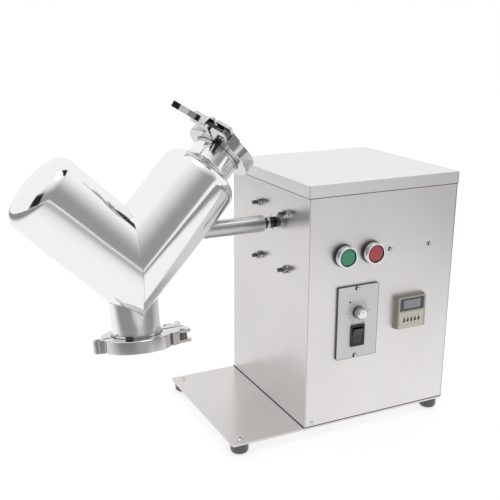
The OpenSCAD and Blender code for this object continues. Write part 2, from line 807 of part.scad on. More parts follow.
wheel_axis_z = timer_out - wheel_skin - wheel_d / 2 - safe_gap;
pocket_w = 5 * wheel_pitch;
pocket_h = wheel_d + 4 * safe_gap;

module timer_case() color("tan") on_timer() difference() {
  union() {
    round_plate(timer_w, timer_w, timer_step_at, small_r);
    round_plate(timer_w - 2 * timer_step, timer_w - 2 * timer_step, timer_out, small_r);
    translate([0, 0, -timer_depth]) round_plate(timer_body_w, timer_body_w, timer_depth + over, small_r);
  }
  // Window seat
  translate([0, window_rise, timer_out - window_t])
    round_plate(window_w + 2 * run_fit, window_h + 2 * run_fit, window_t + over, small_r);
  // Pocket of the thumbwheels, with the spindle left standing, and a slot for each wheel
  difference() {
    translate([-pocket_w / 2, -wheel_drop - pocket_h / 2, wheel_axis_z - pocket_h / 2])
      cube([pocket_w, pocket_h, timer_out - wheel_skin - wheel_axis_z + pocket_h / 2]);
    translate([-pocket_w / 2, -wheel_drop, wheel_axis_z]) rotate([0, 90, 0])
      cylinder(d = spindle_d, h = pocket_w);
  }
  for (i = [0 : 4]) translate([(i - 2) * wheel_pitch, -wheel_drop, timer_out - wheel_skin - over])
    linear_extrude(wheel_skin + 2 * over) square([slot_w, slot_h], center = true);
}

module timer_window() color("darkslategray") on_timer() translate([0, window_rise, timer_out - window_t])
  round_plate(window_w, window_h, window_t, small_r);

module timer_wheel(i) {
  notch_count = 10;
  notch_r = 1;
  color("black") on_timer() translate([(i - 3) * wheel_pitch - wheel_t / 2, -wheel_drop, wheel_axis_z])
    rotate([0, 90, 0]) difference() {
      cylinder(d = wheel_d, h = wheel_t);
      translate([0, 0, -over]) cylinder(r = spindle_d / 2 + run_fit, h = wheel_t + 2 * over);
      for (n = [0 : notch_count - 1]) rotate([0, 0, (n + 0.5) * 360 / notch_count])
        translate([wheel_d / 2, 0, wheel_t / 2]) cylinder(r = notch_r, h = wheel_t, $fn = 24);
    }
}

// Cable gland in the back wall

gland_in = 30;
gland_x = base_l / 2 - gland_in;
gland_rise = 40;
gland_thread_d = 16;
gland_bore_d = 8;
gland_hex_af = 20;
gland_hex_h = 6;
gland_dome_h = 14;
gland_thread_l = 12;

module on_gland() {
  translate([gland_x, base_d / 2, deck_z + gland_rise]) rotate([-90, 0, 0]) children();
}

module cable_gland() color("black") on_gland() difference() {
  union() {
    translate([0, 0, -sheet_t - gland_thread_l])
      cylinder(d = gland_thread_d, h = sheet_t + gland_thread_l + over);
    cylinder(d = gland_hex_af / cos(30), h = gland_hex_h, $fn = 6);
    translate([0, 0, gland_hex_h]) cylinder(d = gland_hex_af - 2 * small_r, h = gland_dome_h / 2);
    translate([0, 0, gland_hex_h + gland_dome_h / 2])
      cylinder(d1 = gland_hex_af - 2 * small_r, d2 = gland_bore_d + 4 * small_r, h = gland_dome_h / 2);
  }
  translate([0, 0, -sheet_t - gland_thread_l - over])
    cylinder(d = gland_bore_d, h = sheet_t + gland_thread_l + gland_hex_h + gland_dome_h + 2 * over);
}

module gland_nut() color("black") on_gland() translate([0, 0, -sheet_t - gland_hex_h]) difference() {
  cylinder(d = (gland_hex_af + 2 * small_r) / cos(30), h = gland_hex_h, $fn = 6);
  translate([0, 0, -over]) cylinder(r = gland_thread_d / 2 + run_fit, h = gland_hex_h + 2 * over);
}

// Shaft and sleeve

collar_lip = 1.5;
collar_d = shaft_d + 2 * collar_lip;
collar_at = 8;
collar_w = 4;
screw_hole_d = 5;
screw_at = 12;

module on_shaft() {
  translate([cabinet_x, motor_offset_y, shaft_z]) rotate([0, -90, 0]) children();
}

module output_shaft() color("silver") on_shaft() {
  translate([0, 0, -sheet_t - shaft_tail]) cylinder(d = shaft_d, h = sheet_t + shaft_tail + shaft_reach);
  translate([0, 0, collar_at]) cylinder(d = collar_d, h = collar_w);
}

module drum_sleeve() color("gainsboro") difference() {
  on_shaft() difference() {
    translate([0, 0, sleeve_start]) cylinder(d = sleeve_d, h = vessel_reach - sleeve_start);
    translate([0, 0, sleeve_start - over])
      cylinder(r = shaft_d / 2 + run_fit, h = vessel_reach - sleeve_start + over);
    translate([0, 0, sleeve_start + screw_at]) rotate([0, -90, 0]) cylinder(d = screw_hole_d, h = sleeve_d);
  }
  on_vessel() on_arm(1) cylinder(d = arm_d, h = arm_l);
}

module sleeve_screw() color("dimgray") on_shaft() translate([0, 0, sleeve_start + screw_at])
  rotate([0, -90, 0]) difference() {
    socket_af = 2.5;
    screw_l = (sleeve_d - shaft_d) / 2 - small_r / 2;
    translate([0, 0, shaft_d / 2 + run_fit]) cylinder(r = screw_hole_d / 2 - run_fit, h = screw_l);
    translate([0, 0, shaft_d / 2 + screw_l / 2]) cylinder(d = socket_af / cos(30), h = screw_l, $fn = 6);
  }

// Vessel

// One arm with its dished end, inset by the depth of the wall where the inside is wanted
module arm_solid(side, inset) {
  big = arm_l + dish_depth + arm_d;
  intersection() {
    on_arm(side) rotate_extrude() arm_profile(inset);
    translate([side > 0 ? 0 : -big, -arm_d, -big]) cube([big, 2 * arm_d, 2 * big]);
  }
}

// Half section of an arm: a straight wall, a knuckle and a crown that run into each other
module arm_profile(inset) {
  shoulder = arm_d / 2 - knuckle_r;
  crown_r = (shoulder * shoulder + dish_depth * dish_depth - knuckle_r * knuckle_r)
    / (2 * (dish_depth - knuckle_r));
  crown_z = arm_l + dish_depth - crown_r;
  crown_turn = asin(shoulder / (crown_r - knuckle_r));
  translate([0, -arm_d]) square([arm_d / 2 - inset, arm_l + arm_d]);
  translate([shoulder, arm_l]) circle(knuckle_r - inset);
  intersection() {
    translate([0, crown_z]) circle(crown_r - inset, $fn = 360);
    translate([0, arm_l - knuckle_r]) square([(crown_r - inset) * sin(crown_turn), dish_depth + knuckle_r]);
  }
}

module vessel_solid(inset, tube_r, run_on) {
  for (side = [-1, 1]) arm_solid(side, inset);
  on_arm(1) translate([0, 0, arm_l])
    cylinder(r = tube_r, h = inlet_reach - gasket_t / 2 - ferrule_l - arm_l + run_on);
  translate([0, 0, -axes_drop - outlet_reach + gasket_t / 2 + ferrule_l - run_on])
    cylinder(r = tube_r, h = outlet_reach - gasket_t / 2 - ferrule_l + run_on);
}

module vessel_shell() color("gainsboro") on_vessel() difference() {
  vessel_solid(0, tube_d / 2, 0);
  vessel_solid(wall_t, tube_d / 2 - tube_t, over);
}

// Clamp closures, each in its own frame

// Half section of a ferrule: the tube, the bevelled rim and the groove of the gasket's bead
module ferrule(which) color("silver") on_clamp(which) rotate_extrude() difference() {
  polygon([
    [tube_d / 2 - tube_t, -gasket_t / 2], [rim_r, -gasket_t / 2], [rim_r, -gasket_t / 2 - rim_t],
    [tube_d / 2, -gasket_t / 2 - rim_t - rim_out * tan(bevel)],
    [tube_d / 2, -gasket_t / 2 - ferrule_l], [tube_d / 2 - tube_t, -gasket_t / 2 - ferrule_l]
  ]);
  translate([bead_at, -gasket_t / 2]) circle(bead_r + bead_clear, $fn = 48);
}

module gasket(which) color("white") on_clamp(which) rotate_extrude() {
  translate([tube_d / 2 - tube_t, -gasket_t / 2])
    square([rim_out - small_r / 2 + tube_t, gasket_t]);
  for (s = [-1, 1]) translate([bead_at, s * gasket_t / 2]) circle(bead_r, $fn = 48);
}

module cap(which) color("gainsboro") on_clamp(which) rotate_extrude() difference() {
  polygon([
    [0, gasket_t / 2], [rim_r, gasket_t / 2], [rim_r, gasket_t / 2 + rim_t],
    [rim_r - (cap_t - rim_t) / tan(bevel), gasket_t / 2 + cap_t], [0, gasket_t / 2 + cap_t]
  ]);
  translate([bead_at, gasket_t / 2]) circle(bead_r + bead_clear, $fn = 48);
}

// The whole ring of a clamp, with the bevelled groove that draws the two rims together
module clamp_ring() {
  groove_out = gasket_t / 2 + rim_t + groove_gap;
  groove_in = groove_out + (groove_r - lip_r) * tan(bevel);
  rotate_extrude() polygon([
    [lip_r, clamp_h / 2], [clamp_r - edge_bevel, clamp_h / 2], [clamp_r, clamp_h / 2 - edge_bevel],
    [clamp_r, -clamp_h / 2 + edge_bevel], [clamp_r - edge_bevel, -clamp_h / 2], [lip_r, -clamp_h / 2],
    [lip_r, -groove_in], [groove_r, -groove_out], [groove_r, groove_out], [lip_r, groove_in]
  ]);
}

// What lies on one side of the split: side is 1 for the half with the bolt, -1 for the other
module clamp_side(side) {
  translate([-2 * clamp_r, side > 0 ? split_gap / 2 : -split_gap / 2 - 2 * clamp_r, -clamp_h])
    cube([4 * clamp_r, 2 * clamp_r, 2 * clamp_h]);
}

// Outline of a closure ear: from inside the ring out past the bolt
module ear_outline(y0, y1) {
  root_x = bolt_x - ear_out - ear_root;
  polygon([
    [root_x, y0], [bolt_x + ear_out - small_r, y0], [bolt_x + ear_out, y0 + small_r],
    [bolt_x + ear_out, y1 - small_r], [bolt_x + ear_out - small_r, y1],
    [bolt_x - ear_root / 2, y1], [root_x, y1 + ear_root]
  ]);
}

// Slab of height t centred on the clamp's plane
module slab(t) {
  translate([0, 0, -t / 2]) linear_extrude(t) children();
}

// Fixed half: hinge fork at -x, two ears round the eye of the bolt at +x
module clamp_fixed(which) color("silver") on_clamp(which) difference() {
  union() {
    intersection() {
      clamp_ring();
      clamp_side(1);
    }
    intersection() {
      difference() {
        slab(clamp_h) ear_outline(split_gap / 2, bolt_pin_y + eye_r);
        cylinder(r = groove_r, h = 2 * clamp_h, center = true);
      }
      clamp_side(1);
    }
    // Hinge fork
    slab(clamp_h) {
      translate([-hinge_x, 0]) circle(knuckle_out_r);
      polygon([
        [-hinge_x, 0], [-hinge_x + split_gap, split_gap / 2], [-groove_r - small_r, split_gap / 2],
        [-groove_r - small_r, 2 * knuckle_out_r], [-hinge_x - knuckle_out_r + small_r, knuckle_out_r / 2]
      ]);
    }
  }
  // Slot of the bolt, open outwards and towards the other half
  slab(eye_t + 2 * safe_gap) translate([bolt_x - eye_r - safe_gap, -clamp_r])
    square([2 * clamp_r, clamp_r + bolt_pin_y + eye_r + ear_root]);
  // Slot of the hinge's tongue
  slab(tongue_t + 2 * safe_gap) {
    translate([-hinge_x, 0]) circle(knuckle_out_r + safe_gap);
    translate([-hinge_x - 2 * knuckle_out_r, -knuckle_out_r]) square([2 * knuckle_out_r, 2 * knuckle_out_r]);
  }
  translate([-hinge_x, 0]) cylinder(r = pin_d / 2 + run_fit, h = 2 * clamp_h, center = true);
  translate([bolt_x, bolt_pin_y]) cylinder(r = pin_d / 2 + run_fit, h = 2 * clamp_h, center = true);
}

// Opening half: hinge tongue at -x, a forked ear with a round nut seat at +x
module clamp_half(which) color("gainsboro") on_clamp(which) difference() {
  union() {
    difference() {
      intersection() {
        clamp_ring();
        clamp_side(-1);
      }
      // Room for the fork's knuckles, above and below the tongue
      difference() {
        translate([-hinge_x, 0]) cylinder(r = knuckle_out_r + safe_gap, h = 2 * clamp_h, center = true);
        slab(tongue_t) translate([-hinge_x, 0]) circle(2 * knuckle_out_r);
      }
    }
    difference() {
      slab(clamp_h) intersection() {
        mirror([0, 1]) ear_outline(split_gap / 2, seat_drop);
        translate([bolt_x, bolt_pin_y]) circle(seat_drop - safe_gap, $fn = 180);
      }
      cylinder(r = groove_r, h = 2 * clamp_h, center = true);
    }
    // Hinge tongue
    slab(tongue_t) {
      translate([-hinge_x, 0]) circle(knuckle_out_r);
      polygon([
        [-hinge_x, 0], [-hinge_x + split_gap, -split_gap / 2], [-groove_r - small_r, -split_gap / 2],
        [-groove_r - small_r, -2 * knuckle_out_r], [-hinge_x - knuckle_out_r + small_r, -knuckle_out_r / 2]
      ]);
    }
  }
  // Slot of the bolt, open outwards
  slab(eye_t + 2 * safe_gap) translate([bolt_x - bolt_d / 2 - 2 * safe_gap, -2 * clamp_r])
    square([2 * clamp_r, 2 * clamp_r]);
  translate([-hinge_x, 0]) cylinder(r = pin_d / 2 + run_fit, h = 2 * clamp_h, center = true);
}

module clamp_pins(which) color("silver") on_clamp(which)
  for (at = [[-hinge_x, 0], [bolt_x, bolt_pin_y]]) translate(at) {
    cylinder(d = pin_d, h = clamp_h, center = true);
    for (s = [-1, 1]) translate([0, 0, s * (clamp_h + pin_head_t) / 2])
      cylinder(r = pin_head_r, h = pin_head_t, center = true);
  }

module swing_bolt(which) color("silver") on_clamp(which) translate([bolt_x, bolt_pin_y]) difference() {
  union() {
    slab(eye_t) circle(eye_r);
    rotate([90, 0, 0]) {
      cylinder(d = bolt_d, h = bolt_l - small_r);
      translate([0, 0, bolt_l - small_r]) cylinder(d1 = bolt_d, d2 = bolt_d - 2 * small_r, h = small_r);
    }
  }
  cylinder(r = pin_d / 2 + run_fit, h = 2 * clamp_h, center = true);
}

module on_bolt(which) {
  on_clamp(which) translate([bolt_x, bolt_pin_y - seat_drop]) rotate([90, 0, 0]) children();
}

module clamp_washer(which) color("silver") on_bolt(which) difference() {
  cylinder(r = clamp_washer_r, h = clamp_washer_t);
  translate([0, 0, -over]) cylinder(r = bolt_d / 2 + run_fit, h = clamp_washer_t + 2 * over);
}

// Wing nut: a round hub with two wings that flare outwards past its end
module wing_nut(which) color("gainsboro") on_bolt(which)
  rotate([0, 0, which == "inlet" ? inlet_wing_turn : 0])
  translate([0, 0, clamp_washer_t + run_fit]) difference() {
    union() {
      cylinder(r1 = hub_r + small_r / 2, r2 = hub_r, h = hub_l / 3);
      cylinder(r = hub_r, h = hub_l);
      for (s = [-1, 1]) translate([0, wing_t / 2, 0]) rotate([90, 0, 0])
        linear_extrude(wing_t) scale([s, 1]) wing_outline();
    }
    translate([0, 0, -over]) cylinder(r = bolt_d / 2 + run_fit, h = wing_nut_l + 2 * over);
  }

module wing_outline() {
  tip_r = 3;
  root_share = 0.18;
  heel_share = 0.3;
  waist_shares = [0.6, 0.5];
  flare_share = 0.72;
  fork_shares = [0.55, 0.7];
  polygon([
    [0, root_share * wing_nut_l], [hub_r, root_share * wing_nut_l],
    [hub_r + small_r, heel_share * wing_nut_l],
    [waist_shares[0] * wing_span_r, waist_shares[1] * wing_nut_l],
    [wing_span_r - tip_r / 2, flare_share * wing_nut_l],
    [wing_span_r, wing_nut_l - tip_r], [wing_span_r - tip_r, wing_nut_l],
    [wing_span_r - 2 * tip_r, wing_nut_l - tip_r],
    [fork_shares[0] * wing_span_r, fork_shares[1] * wing_nut_l],
    [bolt_d / 2 + small_r, hub_l + small_r], [0, hub_l]
  ]);
}

base_plate();
feet();
foot_screws();
cabinet_shell();
front_panel();
lid();
gearhead();
motor_body();
motor_fan_cover();
shaft_bearing();
motor_bolts();
motor_nuts();
run_capacitor();
mount_rail();
terminal_block();
rail_screws();
button_bases();
button_bezels();
button_nuts();
contact_blocks();
start_button();
stop_button();
speed_panel();
speed_box();
speed_panel_screws();
speed_knob();
knob_cap();
rocker_frame();
rocker();
timer_case();
timer_window();
timer_wheel(1);  // timer_wheel_1
timer_wheel(2);  // timer_wheel_2
timer_wheel(3);  // timer_wheel_3
timer_wheel(4);  // timer_wheel_4
timer_wheel(5);  // timer_wheel_5
cable_gland();
gland_nut();
output_shaft();
drum_sleeve();
sleeve_screw();
vessel_shell();
ferrule("inlet");  // inlet_ferrule
ferrule("outlet");  // outlet_ferrule
gasket("inlet");  // inlet_gasket
cap("inlet");  // inlet_cap
clamp_fixed("inlet");  // inlet_clamp_fixed
clamp_half("inlet");  // inlet_clamp_half
clamp_pins("inlet");  // inlet_clamp_pins
swing_bolt("inlet");  // inlet_swing_bolt
clamp_washer("inlet");  // inlet_washer
wing_nut("inlet");  // inlet_wing_nut
gasket("outlet");  // outlet_gasket
cap("outlet");  // outlet_cap
clamp_fixed("outlet");  // outlet_clamp_fixed
clamp_half("outlet");  // outlet_clamp_half
clamp_pins("outlet");  // outlet_clamp_pins
swing_bolt("outlet");  // outlet_swing_bolt
clamp_washer("outlet");  // outlet_washer
wing_nut("outlet");  // outlet_wing_nut
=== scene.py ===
# A bench-top V-blender: a stainless drive cabinet on a base plate turns a polished V-shaped vessel
# on a horizontal shaft. Metres, +Z up, the floor at z = 0, the shaft along X, the controls on -Y.
import math

import bmesh
import bpy
from mathutils import Matrix, Vector


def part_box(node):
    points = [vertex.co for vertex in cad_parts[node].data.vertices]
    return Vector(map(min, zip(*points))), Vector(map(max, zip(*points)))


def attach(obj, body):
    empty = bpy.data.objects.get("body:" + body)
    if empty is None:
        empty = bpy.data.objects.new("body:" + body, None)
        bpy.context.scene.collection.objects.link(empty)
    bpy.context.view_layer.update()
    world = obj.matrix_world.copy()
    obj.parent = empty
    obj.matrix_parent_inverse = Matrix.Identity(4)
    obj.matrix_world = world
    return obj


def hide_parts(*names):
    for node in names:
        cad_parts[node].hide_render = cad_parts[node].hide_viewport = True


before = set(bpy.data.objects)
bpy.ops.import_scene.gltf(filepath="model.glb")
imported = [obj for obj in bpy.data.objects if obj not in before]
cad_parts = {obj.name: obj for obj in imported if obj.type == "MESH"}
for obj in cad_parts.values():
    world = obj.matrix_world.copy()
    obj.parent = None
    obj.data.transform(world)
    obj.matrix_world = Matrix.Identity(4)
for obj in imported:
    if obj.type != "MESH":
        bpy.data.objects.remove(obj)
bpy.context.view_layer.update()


# Studio: a white tent round the machine, open at the front, on a white table. The opening, a dark
# stand and a dark boom are what the polished steel shows as its grey bands and black accents.
class Value:
    """A shader socket that takes part in arithmetic: each operation adds its Math node."""

    def __init__(self, look, socket):
        self.look, self.socket = look, socket

    def maths(self, operation, *values):
        return self.look.node("ShaderNodeMath", {"operation": operation}, dict(enumerate(values)))

    def __add__(self, other):
        return self.maths("ADD", self, other)

    def __radd__(self, other):
        return self.maths("ADD", other, self)

    def __sub__(self, other):
        return self.maths("SUBTRACT", self, other)

    def __rsub__(self, other):
        return self.maths("SUBTRACT", other, self)

    def __mul__(self, other):
        return self.maths("MULTIPLY", self, other)

    def __rmul__(self, other):
        return self.maths("MULTIPLY", other, self)

    def __neg__(self):
        return self.maths("MULTIPLY", self, -1.0)

    def __abs__(self):
        return self.maths("ABSOLUTE", self)

    def above(self, edge):
        """1 where the value is greater than edge, otherwise 0."""
        return self.maths("GREATER_THAN", self, edge)

    def rise(self, start, end):
        """0 up to start, 1 from end, smooth between."""
        return self.look.node("ShaderNodeMapRange", {"interpolation_type": "SMOOTHSTEP"},
                              {"Value": self, "From Min": start, "From Max": end})


class Look:
    """The nodes of one material, or of the world."""

    def __init__(self, owner):
        owner.use_nodes = True
        self.owner, self.tree = owner, owner.node_tree

    def node(self, kind, settings=None, sockets=None, out=0):
        """Adds a node, makes its settings, fills or links its sockets and gives one output."""
        made = self.tree.nodes.new(kind)
        for key, value in (settings or {}).items():
            setattr(made, key, value)
        for key, value in (sockets or {}).items():
            if isinstance(value, Value):
                self.tree.links.new(value.socket, made.inputs[key])
            else:
                made.inputs[key].default_value = value
        return Value(self, made.outputs[out] if made.outputs else None)

    def blend(self, share, first, second):
        """The colour between two colours, second where share is 1."""
        return self.node("ShaderNodeMix", {"data_type": "RGBA"},
                         {0: share, 6: first, 7: second}, out=2)

    def axes(self, vector):
        """The three coordinates of a vector."""
        parts = self.node("ShaderNodeSeparateXYZ", sockets={"Vector": vector}).socket.node
        return [Value(self, output) for output in parts.outputs]

    def place(self):
        """A point's place in the machine's frame."""
        return self.node("ShaderNodeTexCoord", out="Object")

    def stretched(self, scale):
        """The place, scaled by a vector, for grain that runs one way."""
        return self.node("ShaderNodeVectorMath", {"operation": "MULTIPLY"},
                         {0: self.place(), 1: scale})

    def noise(self, vector, scale, detail=2.0):
        """A cloudy pattern from 0 to 1, with scale features to the metre."""
        return self.node("ShaderNodeTexNoise",
                         sockets={"Vector": vector, "Scale": scale, "Detail": detail})

    def rays(self, *kinds):
        """1 for the kinds of ray that are named."""
        found = [self.node("ShaderNodeLightPath", out=f"Is {kind} Ray") for kind in kinds]
        total = sum(found[1:], found[0])
        return total.maths("MINIMUM", total, 1.0)


TENT = (0.93, 0.93, 0.93, 1)
OPENING = (0.305, 0.31, 0.315, 1)
STAND = (0.02, 0.02, 0.02, 1)
WHITE = (1, 1, 1, 1)


def degrees(value):
    """Radians on a socket, turned into degrees."""
    return value * (180 / math.pi)


studio = bpy.data.worlds.new("studio")
bpy.context.scene.world = studio
tent = Look(studio)
tent.tree.nodes.clear()
east, north, up = tent.axes(tent.node("ShaderNodeTexCoord", out="Generated"))
azimuth = degrees(east.maths("ARCTAN2", east, -north))
elevation = degrees(up.maths("ARCSINE", up))
# Azimuth 0 is straight out from the controls. Each edge fades between two angles in degrees.
opening = (azimuth.rise(-74, -44) * (1 - (azimuth - 2 * elevation).rise(10, 26))
           * elevation.rise(-3, 2) * (1 - elevation.rise(18, 66)) * (1 - azimuth.rise(22, 100)))
stand = (azimuth.rise(-80, -70) * (1 - azimuth.rise(-40, -30))
         * elevation.rise(-6, 2) * (1 - elevation.rise(32, 42)))
boom = (azimuth.rise(68, 74) * (1 - azimuth.rise(102, 108))
        * elevation.rise(40, 45) * (1 - elevation.rise(63, 69)))
tent_colour = tent.blend(opening, TENT, OPENING)
tent_colour = tent.blend(stand, tent_colour, STAND)
tent_colour = tent.blend(boom, tent_colour, STAND)
tent_colour = tent.blend(tent.rays("Camera"), tent_colour, WHITE)
tent.node("ShaderNodeOutputWorld", sockets={
    "Surface": tent.node("ShaderNodeBackground", sockets={"Color": tent_colour, "Strength": 1.0})})

# The table shows white by a glow of its own and still takes the machine's shadow. Mirrored in the
# steel it is grey far out at the front and darker at both sides.
TABLE_R, TABLE_CORNERS = 6.0, 64
TABLE_MATT, TABLE_OWN_GLOW = (0.4, 0.4, 0.4, 1), 0.72
TABLE_NEAR = (0.93, 0.93, 0.93, 1)
TABLE_FAR = (0.46, 0.46, 0.46, 1)
TABLE_SIDE = (0.27, 0.27, 0.275, 1)
table_material = bpy.data.materials.new("white_table")
table_look = Look(table_material)
table_look.tree.nodes.clear()
table_x, table_y, _ = table_look.axes(table_look.place())
table_away = table_x * table_x + table_y * table_y
table_away = table_away.maths("SQRT", table_away)
table_front = degrees(table_x.maths("ARCTAN2", table_x + 0.2, -table_y))
table_grey = table_away.rise(0.45, 2.2) * table_front.rise(-60, -30) * (1 - table_front.rise(8, 30))
table_sides = 1 - (1 - table_x.rise(0.5, 1.0)) * (1 - (-table_x).rise(0.75, 1.3))
table_glow = table_look.blend(table_grey, TABLE_NEAR, TABLE_FAR)
table_glow = table_look.blend(table_sides, table_glow, TABLE_SIDE)
table_seen = table_look.node("ShaderNodeAddShader", sockets={
    0: table_look.node("ShaderNodeBsdfDiffuse", sockets={"Color": TABLE_MATT}),
    1: table_look.node("ShaderNodeEmission", sockets={"Color": WHITE, "Strength": TABLE_OWN_GLOW})})
table_mirrored = table_look.node("ShaderNodeEmission", sockets={"Color": table_glow, "Strength": 1.0})
table_look.node("ShaderNodeOutputMaterial", sockets={
    "Surface": table_look.node("ShaderNodeMixShader", sockets={
        "Fac": table_look.rays("Glossy", "Transmission"), 1: table_seen, 2: table_mirrored})})
table_mesh = bpy.data.meshes.new("table")
table_rim = [2 * math.pi * i / TABLE_CORNERS for i in range(TABLE_CORNERS)]
table_mesh.from_pydata([(TABLE_R * math.cos(angle), TABLE_R * math.sin(angle), 0) for angle in table_rim],
                       [], [list(range(TABLE_CORNERS))])
table_mesh.materials.append(table_material)
table = bpy.data.objects.new("table", table_mesh)
bpy.context.scene.collection.objects.link(table)

LAMP_AT, LAMP_AIM = Vector((0.35, -0.5, 2.5)), Vector((0, 0, 0.2))
LAMP_SIZE, LAMP_WATTS = 1.2, 5.0
key_data = bpy.data.lights.new("key", "AREA")
key_data.shape, key_data.size, key_data.energy = "DISK", LAMP_SIZE, LAMP_WATTS
key = bpy.data.objects.new("key", key_data)
key.location = LAMP_AT
key.rotation_euler = (LAMP_AIM - LAMP_AT).to_track_quat("-Z", "Y").to_euler()
bpy.context.scene.collection.objects.link(key)


# Camera: at the photograph's place and angle, solved from the edges of the lid, the cabinet and the
# base plate. Azimuth 0 looks along +Y, and the shift puts the machine where the frame has it.
CAMERA_AT = Vector((-0.5667, -0.9763, 0.5649))
CAMERA_AZIMUTH = math.radians(-25.46)
CAMERA_ELEVATION = math.radians(17.45)
SENSOR, LENS, SHIFT_X, SHIFT_Y = 36.0, 58.2, 0.0144, 0.032
camera_data = bpy.data.cameras.new("camera")
camera_data.sensor_width, camera_data.lens = SENSOR, LENS
camera_data.shift_x, camera_data.shift_y = SHIFT_X, SHIFT_Y
camera = bpy.data.objects.new("camera", camera_data)
camera_back = Vector((math.sin(CAMERA_AZIMUTH) * math.cos(CAMERA_ELEVATION),
                      -math.cos(CAMERA_AZIMUTH) * math.cos(CAMERA_ELEVATION),
                      math.sin(CAMERA_ELEVATION)))
camera.location = CAMERA_AT
camera.rotation_euler = (-camera_back).to_track_quat("-Z", "Y").to_euler()
bpy.context.scene.collection.objects.link(camera)
bpy.context.scene.camera = camera
bpy.context.scene.view_settings.view_transform = "Standard"


# Base plate: a flat of 3 mm stainless sheet with a brushed grain along its length. The cabinet
# stands on it, and the feet are screwed up against it from below.
GRAIN_LONG, GRAIN_FINE = 7, 1300


def finish(name, colour, roughness, **shader):
    """A new material on the Principled shader, with uniform values on the shader's own sockets."""
    material = bpy.data.materials.new(name)
    look = Look(material)
    look.shader = look.tree.nodes["Principled BSDF"]
    uniform = {"Base Color": (*colour, 1), "Roughness": roughness}
    for key, value in {**uniform, **{k.replace("_", " "): v for k, v in shader.items()}}.items():
        look.shader.inputs[key].default_value = value
    return look


def paint(look, **varying):
    """Links what changes over the surface into the shader's sockets."""
    for key, value in varying.items():
        look.tree.links.new(value.socket, look.shader.inputs[key.replace("_", " ")])
    return look.owner


def bump(look, height, depth, strength=1.0):
    """A Normal from a height of 0 to 1, with the depth of the relief in metres."""
    return look.node("ShaderNodeBump",
                     sockets={"Height": height, "Distance": depth, "Strength": strength})


def brushed(name, light, dark, roughness, upright=1.0):
    """Sheet with a fine grain that runs level on upright faces, which get painted shade by a factor."""
    look = finish(name, light, roughness, Metallic=1.0)
    facing = look.axes(look.node("ShaderNodeNewGeometry", out="Normal"))[2]
    level = abs(facing).above(0.5)
    grain_way = look.blend(level, (GRAIN_LONG, GRAIN_LONG, GRAIN_FINE, 1),
                           (GRAIN_LONG, GRAIN_FINE, GRAIN_LONG, 1))
    grain = look.noise(look.stretched(grain_way), 1.0, 3.0)
    broad = look.noise(look.place(), 9.0, 1.0)
    shade = 0.3 * grain + 0.7 * broad
    colour = look.blend(shade.rise(0.3, 0.7), (*dark, 1), (*light, 1))
    return paint(
        look,
        # Painted shade: upright faces are darkened towards black by the factor upright.
        Base_Color=look.blend((1 - level) * (1 - upright), colour, (0, 0, 0, 1)),
        Roughness=(roughness - 0.03) + 0.06 * grain,
        Normal=bump(look, grain, 0.00001, 0.12))


def coat(node, material, edge=0.0, segments=2):
    """Gives a CAD node its finish, and softens its edges by a bevel of that width."""
    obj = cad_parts[node]
    obj.data.materials.clear()
    obj.data.materials.append(material)
    if edge:
        weld = obj.modifiers.new("weld", "WELD")
        weld.merge_threshold = 0.00001
        soft = obj.modifiers.new("edge", "BEVEL")
        soft.width, soft.segments, soft.limit_method = edge, segments, "ANGLE"
        soft.angle_limit = math.radians(35)
        obj.modifiers.new("shade", "WEIGHTED_NORMAL").keep_sharp = True


sheet_steel = brushed("brushed_sheet_steel", (0.745, 0.725, 0.715), (0.70, 0.68, 0.67), 0.25)
coat("base_plate", sheet_steel, 0.0004)


# Feet: moulded black rubber, flat on top under the plate and rounded towards the floor. A pan head
# screw goes through the plate into each.
def turn(bm, profile, at, steps=96, closed=False):
    """Adds a turned form: a profile of (radius, height) swept round z, then placed."""
    rings = []
    for radius, height in profile:
        count = steps if radius else 1
        rings.append([bm.verts.new(at @ Vector((radius * math.cos(2 * math.pi * i / steps),
                                                radius * math.sin(2 * math.pi * i / steps), height)))
                      for i in range(count)])
    for low, high in zip(rings, rings[1:] + rings[:1] if closed else rings[1:]):
        for i in range(steps):
            j = (i + 1) % steps
            corners = dict.fromkeys((low[i % len(low)], low[j % len(low)],
                                     high[j % len(high)], high[i % len(high)]))
            if len(corners) > 2:
                bm.faces.new(list(corners))


def arc(centre_r, centre_z, radius, start, end, count):
    """Points of an arc in a profile, angles in degrees from outwards towards up."""
    return [(centre_r + radius * math.cos(math.radians(start + (end - start) * i / count)),
             centre_z + radius * math.sin(math.radians(start + (end - start) * i / count)))
            for i in range(count + 1)]


def piece(bm, name, material, body, slot, *nodes, sharp=32):
    """Turns a bmesh into a piece that rides on a body and stands for the nodes named."""
    bmesh.ops.recalc_face_normals(bm, faces=bm.faces)
    for face in bm.faces:
        face.smooth = True
    for joint in bm.edges:
        joint.smooth = len(joint.link_faces) == 2 and joint.calc_face_angle() < math.radians(sharp)
    mesh = bpy.data.meshes.new(name)
    bm.to_mesh(mesh)
    bm.free()
    mesh.materials.append(material)
    obj = bpy.data.objects.new(name, mesh)
    bpy.context.scene.collection.objects.link(obj)
    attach(obj, body)
    if nodes:
        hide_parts(*nodes)
    return obj


def shifted(x, y, z):
    """A move, as a matrix."""
    return Matrix.Translation((x, y, z))


